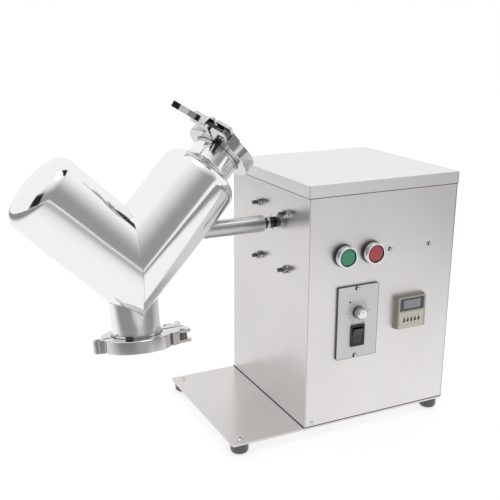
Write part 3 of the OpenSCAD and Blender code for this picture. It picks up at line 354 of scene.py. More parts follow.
FOOT_R, FOOT_H = 0.0125, 0.015
FOOT_X, FOOT_Y = 0.156, 0.103
SOLE_R, SOLE_ROUND, WAIST_Z, BRIM_R, BRIM_Z = 0.0072, 0.0053, 0.0075, 0.0121, 0.0138
rubber = finish("foot_rubber", (0.075, 0.072, 0.07), 0.3, Coat_Weight=0.6, Coat_Roughness=0.2)
foot_speckle = rubber.noise(rubber.place(), 900.0, 2.0)
foot_rubber = paint(rubber, Roughness=0.28 + 0.2 * foot_speckle,
                    Normal=bump(rubber, foot_speckle, 0.00003, 0.4))
feet = bmesh.new()
for foot_x in (-FOOT_X, FOOT_X):
    for foot_y in (-FOOT_Y, FOOT_Y):
        turn(feet, [(0, 0), (SOLE_R, 0)] + arc(SOLE_R, SOLE_ROUND, SOLE_ROUND, -85, 0, 10)
             + [(FOOT_R, WAIST_Z), (FOOT_R, BRIM_Z), (BRIM_R, FOOT_H), (0, FOOT_H)],
             shifted(foot_x, foot_y, 0), 64)
piece(feet, "rubber_feet", foot_rubber, "cabinet", "foot_rubber", "feet")

bright = finish("bright_zinc_steel", (0.74, 0.73, 0.72), 0.2, Metallic=1.0)
bright_cloud = bright.noise(bright.place(), 420.0, 2.0)
bright_steel = paint(bright, Roughness=0.14 + 0.16 * bright_cloud,
                     Base_Color=bright.blend(bright_cloud, (0.68, 0.67, 0.66, 1), (0.78, 0.77, 0.76, 1)))
coat("foot_screws", bright_steel)


# Cabinet: a shell of 1.2 mm brushed sheet bent round the left, back and right, a front panel let in
# between the side walls, and a lid with a turned-down rim. Near-black strips along its foot and under the
# rim are painted shadow.
CABINET_LEFT, CABINET_RIGHT, CABINET_FRONT, CABINET_BACK = -0.063, 0.171, -0.115, 0.115
DECK_Z = 0.018
BEAD, SKIN_GAP = 0.0012, 0.0001
coat("cabinet_shell", sheet_steel)
coat("front_panel", brushed("brushed_front_steel", (0.87, 0.85, 0.84), (0.82, 0.80, 0.79), 0.42))
# The lid's upright rim gets a painted shade, 0.97 of its top's colour.
lid_steel = brushed("brushed_lid_steel", (0.91, 0.90, 0.895), (0.88, 0.87, 0.865), 0.4, 0.97)
coat("lid", lid_steel, 0.0006, 3)
# Painted shadow: near-black quarter-round strips stand in for the shade in the joints at the cabinet's foot
# and under the lid's rim.
shadow_line_look = finish("painted_shadow_line", (0.03, 0.03, 0.032), 0.5)
painted_shadow_line = paint(shadow_line_look, Roughness=0.4 + 0.25 * shadow_line_look.noise(shadow_line_look.place(), 260.0, 1.0))


def bead_strip(bm, start, end, out):
    """Adds a quarter-round bead from start to end, with its round side towards out."""
    ends = []
    for at in (start, end):
        ends.append([bm.verts.new(Vector(at) + Vector(out) * (BEAD * r) + Vector((0, 0, BEAD * h)))
                     for r, h in ((0, 0), (1, 0), (0.62, 0.62), (0, 1))])
    for i in range(4):
        bm.faces.new((ends[0][i], ends[0][(i + 1) % 4], ends[1][(i + 1) % 4], ends[1][i]))
    for ring in ends:
        bm.faces.new(ring)


corner = (CABINET_LEFT, CABINET_FRONT, DECK_Z)
foot_shadow_lines = bmesh.new()
bead_strip(foot_shadow_lines, corner, (CABINET_LEFT, CABINET_BACK, DECK_Z), (-1, 0, 0))
bead_strip(foot_shadow_lines, corner, (CABINET_RIGHT, CABINET_FRONT, DECK_Z), (0, -0.4, 0))
piece(foot_shadow_lines, "foot_painted_shadow", painted_shadow_line, "cabinet", "foot_rubber")
rim_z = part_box("lid")[0][2] - BEAD
left, right = CABINET_LEFT - SKIN_GAP, CABINET_RIGHT + SKIN_GAP
front, back = CABINET_FRONT - SKIN_GAP, CABINET_BACK + SKIN_GAP
rim_shadow_lines = bmesh.new()
bead_strip(rim_shadow_lines, (left, front, rim_z), (right, front, rim_z), (0, -0.4, 0))
bead_strip(rim_shadow_lines, (left, front, rim_z), (left, back, rim_z), (-0.4, 0, 0))
bead_strip(rim_shadow_lines, (right, front, rim_z), (right, back, rim_z), (0.4, 0, 0))
bead_strip(rim_shadow_lines, (left, back, rim_z), (right, back, rim_z), (0, 0.4, 0))
piece(rim_shadow_lines, "lid_rim_painted_shadow", painted_shadow_line, "lid", "foot_rubber")


# Corner screw: a small zinc plated pan head at the lower left corner of the front panel. It goes
# through the panel into the shell's flange.
CORNER_X, CORNER_Z, HEAD_R, HEAD_H, HEAD_RIM = -0.0505, 0.0235, 0.0028, 0.0015, 0.35


def on_front(x, z):
    """The frame of a place on the front panel: z out of the panel, y up."""
    return shifted(x, CABINET_FRONT, z) @ Matrix.Rotation(math.pi / 2, 4, "X")


head_dome = [(HEAD_R * math.cos(t), HEAD_H * (HEAD_RIM + (1 - HEAD_RIM) * math.sin(t)))
             for t in (0.35, 0.7, 1.05, 1.3)]
corner_screw = bmesh.new()
turn(corner_screw, [(0, 0), (HEAD_R, 0), (HEAD_R, HEAD_RIM * HEAD_H)] + head_dome + [(0, HEAD_H)],
     on_front(CORNER_X, CORNER_Z), 40)
piece(corner_screw, "corner_screw", bright_steel, "cabinet", "bright_steel")


# Drive and wiring: a cast gearhead, a ribbed motor with a plastic fan cover, a bearing and a capacitor,
# with a zinc rail, a terminal block and the boxes of the controls. All are fixed inside the cabinet.
cast = finish("cast_aluminium", (0.52, 0.53, 0.54), 0.5, Metallic=1.0)
cast_grain = cast.noise(cast.place(), 700.0, 4.0)
coat("gearhead", paint(cast, Roughness=0.42 + 0.2 * cast_grain,
                       Normal=bump(cast, cast_grain, 0.00008, 0.6)), 0.0008)
enamel = finish("motor_enamel", (0.32, 0.33, 0.34), 0.4, Metallic=0.6)
motor_enamel = paint(enamel, Roughness=0.34 + 0.16 * enamel.noise(enamel.place(), 500.0, 2.0))
coat("motor_body", motor_enamel, 0.0005)
matte = finish("black_plastic", (0.022, 0.022, 0.023), 0.45)
matte_grain = matte.noise(matte.place(), 1500.0, 2.0)
black_plastic = paint(matte, Roughness=0.38 + 0.2 * matte_grain,
                      Normal=bump(matte, matte_grain, 0.00002, 0.5))
for node, edge in (("motor_fan_cover", 0.0006), ("button_nuts", 0.0003), ("speed_box", 0.0005),
                   ("cable_gland", 0.0004), ("gland_nut", 0.0004)):
    coat(node, black_plastic, edge)
coat("shaft_bearing", bright_steel, 0.0003)
can = finish("capacitor_can", (0.78, 0.77, 0.72), 0.3)
coat("run_capacitor", paint(can, Roughness=0.26 + 0.1 * can.noise(can.place(), 300.0)), 0.0008)
zinc = finish("zinc_rail_steel", (0.60, 0.60, 0.57), 0.35, Metallic=1.0)
zinc_flower = zinc.noise(zinc.place(), 160.0, 3.0)
rail_zinc = paint(zinc, Roughness=0.25 + 0.25 * zinc_flower,
                  Base_Color=zinc.blend(zinc_flower, (0.5, 0.5, 0.48, 1), (0.68, 0.68, 0.64, 1)))
coat("mount_rail", rail_zinc, 0.0002)
for node, name, colour in (("terminal_block", "terminal_nylon", (0.33, 0.33, 0.33)),
                           ("contact_blocks", "contact_block_nylon", (0.04, 0.2, 0.1))):
    nylon = finish(name, colour, 0.5)
    coat(node, paint(nylon, Roughness=0.45 + 0.12 * nylon.noise(nylon.place(), 900.0)), 0.0005)


# Motor bolts: four long steel bolts from the gearhead's flange out through the left wall, each
# with a washer and a nut. The bolts are darkened as a painted dark reflection, and the nuts are blotched
# near black and near white: painted dark reflections and painted highlights.
BOLT_R, BOLT_PITCH, BOLT_OUT, BOLT_CHAMFER = 0.003, 0.001, 0.013, 0.0006
BOLT_HEAD_R, BOLT_HEAD_T = 0.0053, 0.0042
SHEET_T, GEARHEAD_L, FLANGE_T = 0.0012, 0.062, 0.008
MOTOR_Y, MOTOR_Z, BOLT_HALF = -0.016, 0.270, 0.039


def thread(radius, pitch, start, end, chamfer):
    """Profile points of a thread from start to end, with a chamfered tip."""
    points, height = [(radius - chamfer, start), (radius, start + chamfer)], start + chamfer
    while height + pitch < end:
        points += [(radius, height + 0.2 * pitch), (radius - 0.55 * pitch, height + 0.6 * pitch),
                   (radius, height + pitch)]
        height += pitch
    return points


bolts = bmesh.new()
for side_y in (-BOLT_HALF, BOLT_HALF):
    for side_z in (-BOLT_HALF, BOLT_HALF):
        # Local z runs from the bolt's tip into the cabinet
        tip = shifted(CABINET_LEFT - BOLT_OUT, MOTOR_Y + side_y, MOTOR_Z + side_z)
        head = BOLT_OUT + SHEET_T + GEARHEAD_L + FLANGE_T
        turn(bolts, [(0, 0)] + thread(BOLT_R, BOLT_PITCH, 0.0, BOLT_OUT, BOLT_CHAMFER)
             + [(BOLT_R, BOLT_OUT), (BOLT_R, head), (BOLT_HEAD_R, head),
                (BOLT_HEAD_R, head + BOLT_HEAD_T), (0, head + BOLT_HEAD_T)],
             tip @ Matrix.Rotation(math.pi / 2, 4, "Y"), 32)
# Painted dark reflection: the bolts' steel is coloured dark, for the dark surroundings it mirrors.
reflection_darkened_steel = finish("thread_steel", (0.20, 0.195, 0.19), 0.22, Metallic=1.0)
thread_steel = paint(reflection_darkened_steel, Roughness=0.16 + 0.2 * reflection_darkened_steel.noise(reflection_darkened_steel.place(), 700.0))
piece(bolts, "threaded_motor_bolts", thread_steel, "cabinet", "bright_steel", "motor_bolts", sharp=25)
# Painted highlights and dark reflections: the nuts' colour is blotched between near black and near white.
nut_glint_look = finish("nut_steel_painted_glints", (0.3, 0.3, 0.3), 0.2, Metallic=1.0)
painted_glint_cloud = nut_glint_look.noise(nut_glint_look.place(), 520.0, 2.0)
glint_painted_steel = paint(nut_glint_look, Roughness=0.06 + 0.16 * painted_glint_cloud, Base_Color=nut_glint_look.blend(
    painted_glint_cloud.rise(0.44, 0.56), (0.05, 0.05, 0.05, 1), (0.88, 0.87, 0.86, 1)))
coat("motor_nuts", glint_painted_steel, 0.0004)


# Push buttons: a black plastic base ring against the panel, a chromed bezel round a dark well, and a
# round moulded lens whose stem slides in. A nut behind the panel holds each of them.
START_X, STOP_X, BUTTON_Z = -0.010, 0.0335, 0.2595
BASE_R, BASE_H, BEZEL_OUT, BEZEL_IN, BEZEL_TOP = 0.0155, 0.0052, 0.0149, 0.0121, 0.0128
LENS_R, LENS_TOP, LENS_T, STEM_R, STEM_BACK = 0.0108, 0.0120, 0.0024, 0.0055, 0.0115
BARREL_R, BARREL_L, STEM_BORE, BASE_ROUND = 0.0109, 0.016, 0.00555, 0.0007
BEZEL_ROUND, BEZEL_LIP = 0.0012, 0.0008
chromed = finish("chrome_plate", (0.86, 0.86, 0.87), 0.06, Metallic=1.0)
chrome_haze = chromed.noise(chromed.place(), 350.0, 2.0)
chrome_plate = paint(chromed, Roughness=0.05 + 0.1 * chrome_haze)
bases, bezels = bmesh.new(), bmesh.new()
for button_x in (START_X, STOP_X):
    at = on_front(button_x, BUTTON_Z)
    turn(bases, [(STEM_BORE, -BARREL_L), (BARREL_R, -BARREL_L), (BARREL_R, 0), (BASE_R - 0.0003, 0),
                 (BASE_R, 0.0003), (BASE_R, BASE_H - BASE_ROUND), (BASE_R - BASE_ROUND, BASE_H),
                 (STEM_BORE, BASE_H)], at, closed=True)
    turn(bezels, [(BEZEL_IN, BASE_H), (BEZEL_OUT, BASE_H)]
         + arc(BEZEL_OUT - BEZEL_ROUND, BEZEL_TOP - BEZEL_ROUND, BEZEL_ROUND, 0, 90, 8)
         + arc(BEZEL_IN + BEZEL_LIP, BEZEL_TOP - BEZEL_LIP, BEZEL_LIP, 90, 180, 6), at, closed=True)
piece(bases, "button_collars", black_plastic, "cabinet", "black_plastic", "button_bases", sharp=40)
piece(bezels, "chromed_bezels", chrome_plate, "cabinet", "chrome_trim", "button_bezels", sharp=40)
for name, button_x, colour, slot in (("start", START_X, (0.035, 0.27, 0.145), "green_lens"),
                                     ("stop", STOP_X, (0.43, 0.05, 0.065), "red_lens")):
    lens = finish(f"{name}_lens_plastic", colour, 0.3, Coat_Weight=0.3, Coat_Roughness=0.15)
    lens_grain = lens.noise(lens.place(), 1200.0, 2.0)
    lens_plastic = paint(lens, Roughness=0.3 + 0.15 * lens_grain,
                         Normal=bump(lens, lens_grain, 0.00001, 0.5))
    button = bmesh.new()
    turn(button, [(0, -STEM_BACK), (STEM_R, -STEM_BACK),
                  (STEM_R, LENS_TOP - LENS_T), (LENS_R, LENS_TOP - LENS_T)]
         # The lens has a fine groove just inside its rim
         + [(LENS_R - inward, LENS_TOP - down) for inward, down in (
             (0, 0.0006), (0.0005, 0.0002), (0.0011, 0.0003), (0.0016, 0.00005))]
         + [(0.5 * LENS_R, LENS_TOP - 0.00002), (0, LENS_TOP)], on_front(button_x, BUTTON_Z))
    piece(button, f"{name}_push_button", lens_plastic, f"{name}_button", slot, f"{name}_button", sharp=25)


# Speed controller: a satin aluminium plate with blackened edges in front of its black box, screwed
# on at the top and bottom. A thin dark line along the plate's front edges is painted shade. The dial's
# printed scale runs from 0 to 10.
SPEED_X, SPEED_Z, SPEED_T = 0.0145, 0.1637, 0.003
PLATE_W, PLATE_H, EDGE_SHADE_LINE, INK_T = 0.0645, 0.104, 0.0005, 0.00006
KNOB_UP = 0.014
DIAL_START, DIAL_SWEEP = 240, 300
DASHES, DASH_RING, TICKS, TICK_RING, NUMBER_RING = 60, 0.0152, 31, 0.0118, 0.0182


def facing_front(look):
    """1 on surfaces that face the operator."""
    return (-look.axes(look.node("ShaderNodeNewGeometry", out="Normal"))[1]).above(0.9)


plated = finish("satin_aluminium_plate", (0.62, 0.63, 0.635), 0.42, Metallic=0.3)
plated_grain = plated.noise(plated.stretched((60, 60, 2200)), 1.0, 2.0)
plated_front = facing_front(plated)
coat("speed_panel", paint(
    plated, Base_Color=plated.blend(plated_front, (0.05, 0.05, 0.05, 1), (0.70, 0.705, 0.70, 1)),
    Metallic=0.3 * plated_front, Roughness=0.4 + 0.12 * plated_grain))
coat("speed_panel_screws", bright_steel, 0.00015)


def slab(bm, outline, low, high, at):
    """Adds a flat form: an outline in x and y, from one height to the other, then placed."""
    rings = [[bm.verts.new(at @ Vector((x, y, height))) for x, y in outline] for height in (low, high)]
    bm.faces.new(rings[0])
    bm.faces.new(rings[1])
    for i in range(len(outline)):
        j = (i + 1) % len(outline)
        bm.faces.new((rings[0][i], rings[0][j], rings[1][j], rings[1][i]))


def oblong(width, height, radius=0.0, steps=5, x=0.0, y=0.0):
    """Outline of a rectangle round x and y, with round corners where it has a radius."""
    signs = ((1, 1), (-1, 1), (-1, -1), (1, -1))
    if not radius:
        return [(x + sx * width / 2, y + sy * height / 2) for sx, sy in signs]
    points = []
    for quarter, (sx, sy) in enumerate(signs):
        for i in range(steps + 1):
            turned = math.radians(90 * (quarter + i / steps))
            points.append((x + sx * (width / 2 - radius) + radius * math.cos(turned),
                           y + sy * (height / 2 - radius) + radius * math.sin(turned)))
    return points


printed = finish("printing_ink", (0.025, 0.025, 0.028), 0.5)
printing_ink = paint(printed, Roughness=0.42 + 0.2 * printed.noise(printed.place(), 1800.0))
on_speed = on_front(SPEED_X, SPEED_Z)
on_knob = on_speed @ shifted(0, KNOB_UP, 0)
# Painted shade: a thin dark line of ink along all four edges of the plate's face.
edges = bmesh.new()
for sign in (-1, 1):
    for line in (oblong(EDGE_SHADE_LINE, PLATE_H, x=sign * (PLATE_W - EDGE_SHADE_LINE) / 2),
                 oblong(PLATE_W - 2 * EDGE_SHADE_LINE, EDGE_SHADE_LINE, y=sign * (PLATE_H - EDGE_SHADE_LINE) / 2)):
        slab(edges, line, SPEED_T, SPEED_T + INK_T, on_speed)
piece(edges, "plate_edge_painted_shade", printing_ink, "cabinet", "black_plastic")
scale = bmesh.new()
for i in range(DASHES):
    angle = math.radians(DIAL_START - DIAL_SWEEP + DIAL_SWEEP * (i + 0.5) / DASHES)
    slab(scale, oblong(0.00042, 0.0008), SPEED_T, SPEED_T + INK_T,
         on_knob @ Matrix.Rotation(angle, 4, "Z") @ shifted(DASH_RING, 0, 0))
for i in range(TICKS):
    angle = math.radians(DIAL_START - DIAL_SWEEP * i / (TICKS - 1))
    length, breadth = (0.0022, 0.0005) if i % 3 == 0 else (0.0012, 0.0003)
    slab(scale, oblong(length, breadth), SPEED_T, SPEED_T + INK_T,
         on_knob @ Matrix.Rotation(angle, 4, "Z") @ shifted(TICK_RING + length / 2, 0, 0))
piece(scale, "dial_marks", printing_ink, "cabinet", "black_plastic")


def numeral(name, text, size, at, material, body):
    """A printed numeral, thin and flat, centred on its place."""
    curve = bpy.data.curves.new(name, "FONT")
    curve.body, curve.size, curve.extrude = text, size, INK_T / 2
    curve.align_x, curve.align_y = "CENTER", "CENTER"
    maker = bpy.data.objects.new(name + "_maker", curve)
    bpy.context.scene.collection.objects.link(maker)
    bpy.context.view_layer.update()
    mesh = bpy.data.meshes.new_from_object(maker)
    bpy.data.objects.remove(maker)
    mesh.transform(at)
    mesh.materials.clear()
    mesh.materials.append(material)
    obj = bpy.data.objects.new(name, mesh)
    bpy.context.scene.collection.objects.link(obj)
    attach(obj, body)


for number in range(0, 11, 2):
    angle = math.radians(DIAL_START - DIAL_SWEEP * number / 10)
    numeral(f"dial_number_{number}", str(number), 0.0032,
            on_knob @ shifted(NUMBER_RING * math.cos(angle), NUMBER_RING * math.sin(angle), SPEED_T + INK_T),
            printing_ink, "cabinet")

PANEL_LAMP_R, PANEL_LAMP_FOOT, PANEL_LAMP_BROW, PANEL_LAMP_TOP = 0.00145, 0.0016, 0.0031, 0.004
lamp = finish("lamp_lens", (0.03, 0.005, 0.005), 0.2, Coat_Weight=0.5)
lamp_lens = paint(lamp, Roughness=0.15 + 0.1 * lamp.noise(lamp.place(), 900.0))
light = bmesh.new()
turn(light, [(0, PANEL_LAMP_FOOT), (PANEL_LAMP_R, PANEL_LAMP_FOOT), (PANEL_LAMP_R, PANEL_LAMP_BROW)]
     + [(PANEL_LAMP_R * math.cos(t), PANEL_LAMP_BROW + 0.0009 * math.sin(t)) for t in (0.4, 0.8, 1.2)]
     + [(0, PANEL_LAMP_TOP)], on_speed @ shifted(-0.013, 0.0295, 0), 32)
piece(light, "panel_lamp", lamp_lens, "cabinet", "red_lens")


# Speed knob: a black moulded skirt, a ribbed grip of turned metal, and a bright cap let into its face
# with a dark line for a pointer. Its spindle goes back into the box.
KNOB_R, KNOB_LIFT, KNOB_TOP, CAP_R, CAP_SINK = 0.009, 0.0036, 0.015, 0.0066, 0.001
SPINDLE_R, SPINDLE_BACK, SKIRT_IN, GRIP_FOOT_R, GRIP_R = 0.003, 0.014, 0.0083, 0.0079, 0.0077
SKIRT_TOP = KNOB_LIFT + 0.003
RIBS = 24
gloss = finish("gloss_black_plastic", (0.012, 0.012, 0.013), 0.2, Coat_Weight=0.4)
gloss_black = paint(gloss, Roughness=0.16 + 0.12 * gloss.noise(gloss.place(), 600.0))
knob = bmesh.new()
turn(knob, [(0, -SPINDLE_BACK), (SPINDLE_R, -SPINDLE_BACK), (SPINDLE_R, KNOB_LIFT),
            (KNOB_R - 0.0003, KNOB_LIFT), (KNOB_R, KNOB_LIFT + 0.0003), (KNOB_R, KNOB_LIFT + 0.0022),
            (SKIRT_IN, SKIRT_TOP), (0, SKIRT_TOP)], on_knob)
piece(knob, "knob_skirt", gloss_black, "speed_knob", "knob_plastic", "speed_knob", sharp=30)
grip = bmesh.new()
turn(grip, [(0, SKIRT_TOP), (GRIP_FOOT_R, SKIRT_TOP), (GRIP_R, KNOB_TOP - 0.0009),
            (GRIP_R - 0.0005, KNOB_TOP), (CAP_R, KNOB_TOP), (CAP_R, KNOB_TOP - CAP_SINK),
            (0, KNOB_TOP - CAP_SINK)], on_knob)
for i in range(RIBS):
    slab(grip, oblong(0.0012, 0.0009, 0.0003, 2, 0.0080), SKIRT_TOP, KNOB_TOP - 0.0011,
         on_knob @ Matrix.Rotation(2 * math.pi * i / RIBS, 4, "Z"))
ribbed = finish("turned_grip_metal", (0.62, 0.62, 0.62), 0.25, Metallic=1.0)
grip_metal = paint(ribbed, Roughness=0.2 + 0.15 * ribbed.noise(ribbed.place(), 700.0))
piece(grip, "ribbed_grip", grip_metal, "speed_knob", "knob_plastic", sharp=30)
cap_disc = bmesh.new()
turn(cap_disc, [(0, KNOB_TOP - CAP_SINK), (CAP_R - 0.00005, KNOB_TOP - CAP_SINK),
                (CAP_R - 0.00005, KNOB_TOP + 0.0003), (CAP_R - 0.0006, KNOB_TOP + 0.0008),
                (CAP_R - 0.0016, KNOB_TOP + 0.0006), (0, KNOB_TOP + 0.0005)], on_knob)
piece(cap_disc, "knob_cap_disc", chrome_plate, "speed_knob", "chrome_trim", "knob_cap", sharp=25)
pointer = bmesh.new()
slab(pointer, oblong(0.0007, 0.0036, 0.0002, 3, 0, 0.0029), KNOB_TOP + 0.0003, KNOB_TOP + 0.00072, on_knob)
piece(pointer, "knob_pointer", printing_ink, "speed_knob", "knob_plastic")


# Rocker switch: a moulded black frame clipped into the plate and a glossy paddle that tilts in it,
# with its lower half pressed. A ring and a bar are printed on the paddle's halves.
ROCKER_Z, PADDLE_TILT, PADDLE_AXIS = SPEED_Z - 0.0195, math.radians(7), 0.001
RING_OUT, RING_IN, RING_Y, RING_LOW, RING_HIGH = 0.0018, 0.0013, -0.0075, 0.00445, 0.0046
BAR_Y, BAR_LOW, BAR_HIGH = 0.0068, 0.0046, 0.00475
coat("rocker_frame", black_plastic, 0.0004)
coat("rocker", gloss_black, 0.0005, 3)
on_paddle = (on_front(SPEED_X, ROCKER_Z) @ shifted(0, 0, PADDLE_AXIS)
             @ Matrix.Rotation(PADDLE_TILT, 4, "X"))
paddle_marks = bmesh.new()
turn(paddle_marks, [(RING_IN, RING_LOW), (RING_OUT, RING_LOW), (RING_OUT, RING_HIGH), (RING_IN, RING_HIGH)],
     on_paddle @ shifted(0, RING_Y, 0), 32, closed=True)
slab(paddle_marks, oblong(0.0005, 0.0032), BAR_LOW, BAR_HIGH, on_paddle @ shifted(0, BAR_Y, 0))
marked = finish("switch_mark_paint", (0.14, 0.14, 0.14), 0.4)
mark_paint = paint(marked, Roughness=0.35 + 0.1 * marked.noise(marked.place(), 1500.0))
piece(paddle_marks, "rocker_marks", mark_paint, "rocker", "knob_plastic")


# Timer: a grey-beige moulded case, a dark window with a liquid crystal display, and a cream field with
# five slots, in which black thumbwheels with white numerals turn. Two screws hold the rail inside.
TIMER_X, TIMER_Z, TIMER_OUT = 0.100, 0.166, 0.009
FIELD_LOW, FIELD_HIGH, FIELD_HALF = 0.1435, 0.1665, 0.0205
DISPLAY_W, DISPLAY_H, DISPLAY_UP, DISPLAY_T = 0.0275, 0.0115, 0.0122, 0.0001
WHEELS, SLOT_PITCH, SLOT_DROP, WHEEL_R, WHEEL_SINK = 5, 0.0061, 0.0108, 0.009, 0.0013
SIGN_OFF, SIGN_L, SIGN_W = 0.0054, 0.0016, 0.0004
moulded = finish("timer_case_plastic", (0.40, 0.385, 0.34), 0.4)
moulded_x, _, moulded_z = moulded.axes(moulded.place())
in_field = (moulded_x.above(TIMER_X - FIELD_HALF) * (1 - moulded_x.above(TIMER_X + FIELD_HALF))
            * moulded_z.above(FIELD_LOW) * (1 - moulded_z.above(FIELD_HIGH)) * facing_front(moulded))
# Painted shade: the case's side faces are coloured darker than its front.
case_colour_side_shaded = moulded.blend(facing_front(moulded), (0.30, 0.29, 0.255, 1), (0.40, 0.385, 0.335, 1))
moulded_grain = moulded.noise(moulded.place(), 1300.0, 2.0)
coat("timer_case", paint(
    moulded, Base_Color=moulded.blend(in_field, case_colour_side_shaded, (0.60, 0.575, 0.50, 1)),
    Roughness=0.36 + 0.16 * moulded_grain, Normal=bump(moulded, moulded_grain, 0.00002, 0.4)), 0.0004)
smoked = finish("smoked_window", (0.035, 0.037, 0.042), 0.12, Coat_Weight=0.6)
coat("timer_window", paint(smoked, Roughness=0.1 + 0.08 * smoked.noise(smoked.place(), 500.0)), 0.0003)
# The rail screws share the nuts' painted highlights and dark reflections.
coat("rail_screws", glint_painted_steel, 0.00015)
on_timer = on_front(TIMER_X, TIMER_Z)
crystal = finish("liquid_crystal", (0.30, 0.31, 0.34), 0.25, Coat_Weight=0.4)
liquid_crystal = paint(crystal, Roughness=0.2 + 0.12 * crystal.noise(crystal.place(), 800.0))
display = bmesh.new()
slab(display, oblong(DISPLAY_W, DISPLAY_H, 0.0006, 3, 0, DISPLAY_UP), TIMER_OUT, TIMER_OUT + DISPLAY_T,
     on_timer)
piece(display, "timer_display", liquid_crystal, "cabinet", "display_plastic")
BAR_L, BAR_W = 0.0034, 0.0006
SEGMENTS = {"a": (0, 1, 0), "g": (0, 0, 0), "d": (0, -1, 0), "f": (-0.5, 0.5, 1), "b": (0.5, 0.5, 1),
            "e": (-0.5, -0.5, 1), "c": (0.5, -0.5, 1)}
DIGITS = {"0": "abcdef", "3": "abgcd"}
shown = bmesh.new()
for digit_x, digit in zip((-0.0095, -0.0042, 0.0022, 0.0075), "0300"):
    for name in DIGITS[digit]:
        across, upward, upright = SEGMENTS[name]
        slab(shown, oblong(BAR_L - BAR_W, BAR_W), TIMER_OUT + DISPLAY_T, TIMER_OUT + 1.5 * DISPLAY_T,
             on_timer @ shifted(digit_x + across * BAR_L, DISPLAY_UP + upward * BAR_L, 0)
             @ Matrix.Rotation(upright * math.pi / 2, 4, "Z"))
inked = finish("display_digits", (0.09, 0.09, 0.12), 0.4)
digit_ink = paint(inked, Roughness=0.35 + 0.1 * inked.noise(inked.place(), 900.0))
piece(shown, "timer_digits", digit_ink, "cabinet", "display_plastic")
signs = bmesh.new()
for i in range(WHEELS):
    for side, up_bar in ((-1, False), (1, True)):
        at = on_timer @ shifted((i - 2) * SLOT_PITCH, -SLOT_DROP + side * SIGN_OFF, 0)
        slab(signs, oblong(SIGN_L, SIGN_W), TIMER_OUT, TIMER_OUT + INK_T, at)
        if up_bar:
            slab(signs, oblong(SIGN_W, SIGN_L), TIMER_OUT, TIMER_OUT + 1.2 * INK_T, at)
piece(signs, "thumbwheel_signs", printing_ink, "cabinet", "black_plastic")
white_paint = finish("numeral_paint", (0.62, 0.62, 0.60), 0.45)
numeral_paint = paint(white_paint, Roughness=0.4 + 0.1 * white_paint.noise(white_paint.place(), 1500.0))
for i, shown_digit in enumerate((0, 3, 0, 0, 0)):
    wheel = f"timer_wheel_{i + 1}"
    coat(wheel, black_plastic, 0.0002)
    axle = on_timer @ shifted((i - 2) * SLOT_PITCH, -SLOT_DROP, TIMER_OUT - WHEEL_SINK - WHEEL_R)
    for digit in range(10):
        turned = Matrix.Rotation(math.radians(36 * (digit - shown_digit)), 4, "X")
        numeral(f"wheel_{i + 1}_numeral_{digit}", str(digit), 0.0036,
                axle @ turned @ shifted(0, 0, WHEEL_R), numeral_paint, wheel)


# Output shaft: 15 mm steel, coloured near black, with a bright collar, out of the bearing behind the
# wall. The vessel's turned sleeve slips over it and is held by a set screw.
SHAFT_Z, SHAFT_R, SHAFT_TAIL, SHAFT_REACH, SHAFT_CHAMFER = 0.288, 0.0075, 0.0332, 0.084, 0.001
COLLAR_R, COLLAR_NEAR, COLLAR_FAR, COLLAR_CHAMFER = 0.009, 0.008, 0.012, 0.0004
SHAFT_AT = shifted(CABINET_LEFT, MOTOR_Y, SHAFT_Z) @ Matrix.Rotation(-math.pi / 2, 4, "Y")
ground = finish("near_black_shaft_steel", (0.07, 0.07, 0.07), 0.18, Metallic=1.0)
ground_marks = ground.noise(ground.stretched((1600, 30, 30)), 1.0, 2.0)
shaft_steel = paint(ground, Roughness=0.12 + 0.14 * ground_marks)
shaft = bmesh.new()
turn(shaft, [(0, -SHAFT_TAIL), (SHAFT_R - 0.0005, -SHAFT_TAIL), (SHAFT_R, -SHAFT_TAIL + 0.0005),
             (SHAFT_R, SHAFT_REACH - SHAFT_CHAMFER), (SHAFT_R - SHAFT_CHAMFER, SHAFT_REACH),
             (0, SHAFT_REACH)], SHAFT_AT)
piece(shaft, "drive_shaft", shaft_steel, "drum", "bright_steel", "output_shaft", sharp=25)
collar = bmesh.new()
turn(collar, [(SHAFT_R, COLLAR_NEAR), (COLLAR_R - COLLAR_CHAMFER, COLLAR_NEAR),
              (COLLAR_R, COLLAR_NEAR + COLLAR_CHAMFER), (COLLAR_R, COLLAR_FAR - COLLAR_CHAMFER),
              (COLLAR_R - COLLAR_CHAMFER, COLLAR_FAR), (SHAFT_R, COLLAR_FAR)], SHAFT_AT, closed=True)
piece(collar, "shaft_collar", bright_steel, "drum", "bright_steel", sharp=25)


# Vessel: two 107 mm stainless tubes mitred into a V, with pressed dished ends, an inlet neck and an
# outlet spigot, welded together, ground and mirror polished. It leans forward on its sleeve at rest.
VESSEL_X, VESSEL_LEAN = -0.272, math.radians(-10)
VESSEL = shifted(VESSEL_X, MOTOR_Y, SHAFT_Z) @ Matrix.Rotation(VESSEL_LEAN, 4, "X")
CROSS_DROP, ARM_R, ARM_L, WALL_T = 0.034, 0.0535, 0.142, 0.002
KNUCKLE_R, DISH, TUBE_R, TUBE_T = 0.020, 0.0255, 0.03175, 0.00165
INLET_REACH, OUTLET_REACH, GASKET_T, FERRULE_L = 0.198, 0.0975, 0.0016, 0.0127
SHOULDER = ARM_R - KNUCKLE_R
CROWN_R = (SHOULDER ** 2 + DISH ** 2 - KNUCKLE_R ** 2) / (2 * (DISH - KNUCKLE_R))
CROWN_Z = ARM_L + DISH - CROWN_R
CROWN_TURN = math.degrees(math.asin(SHOULDER / (CROWN_R - KNUCKLE_R)))


def polished(name, colour, low, high, wave):
    """Mirror polished stainless: faint haze and a long soft wave that unsteadies reflections."""
    look = finish(name, colour, low, Metallic=1.0)
    haze = look.noise(look.place(), 75.0, 3.0)
    swell = look.noise(look.place(), 14.0, 1.0)
    return paint(look, Roughness=low + (high - low) * haze, Normal=bump(look, swell, wave, 1.0))


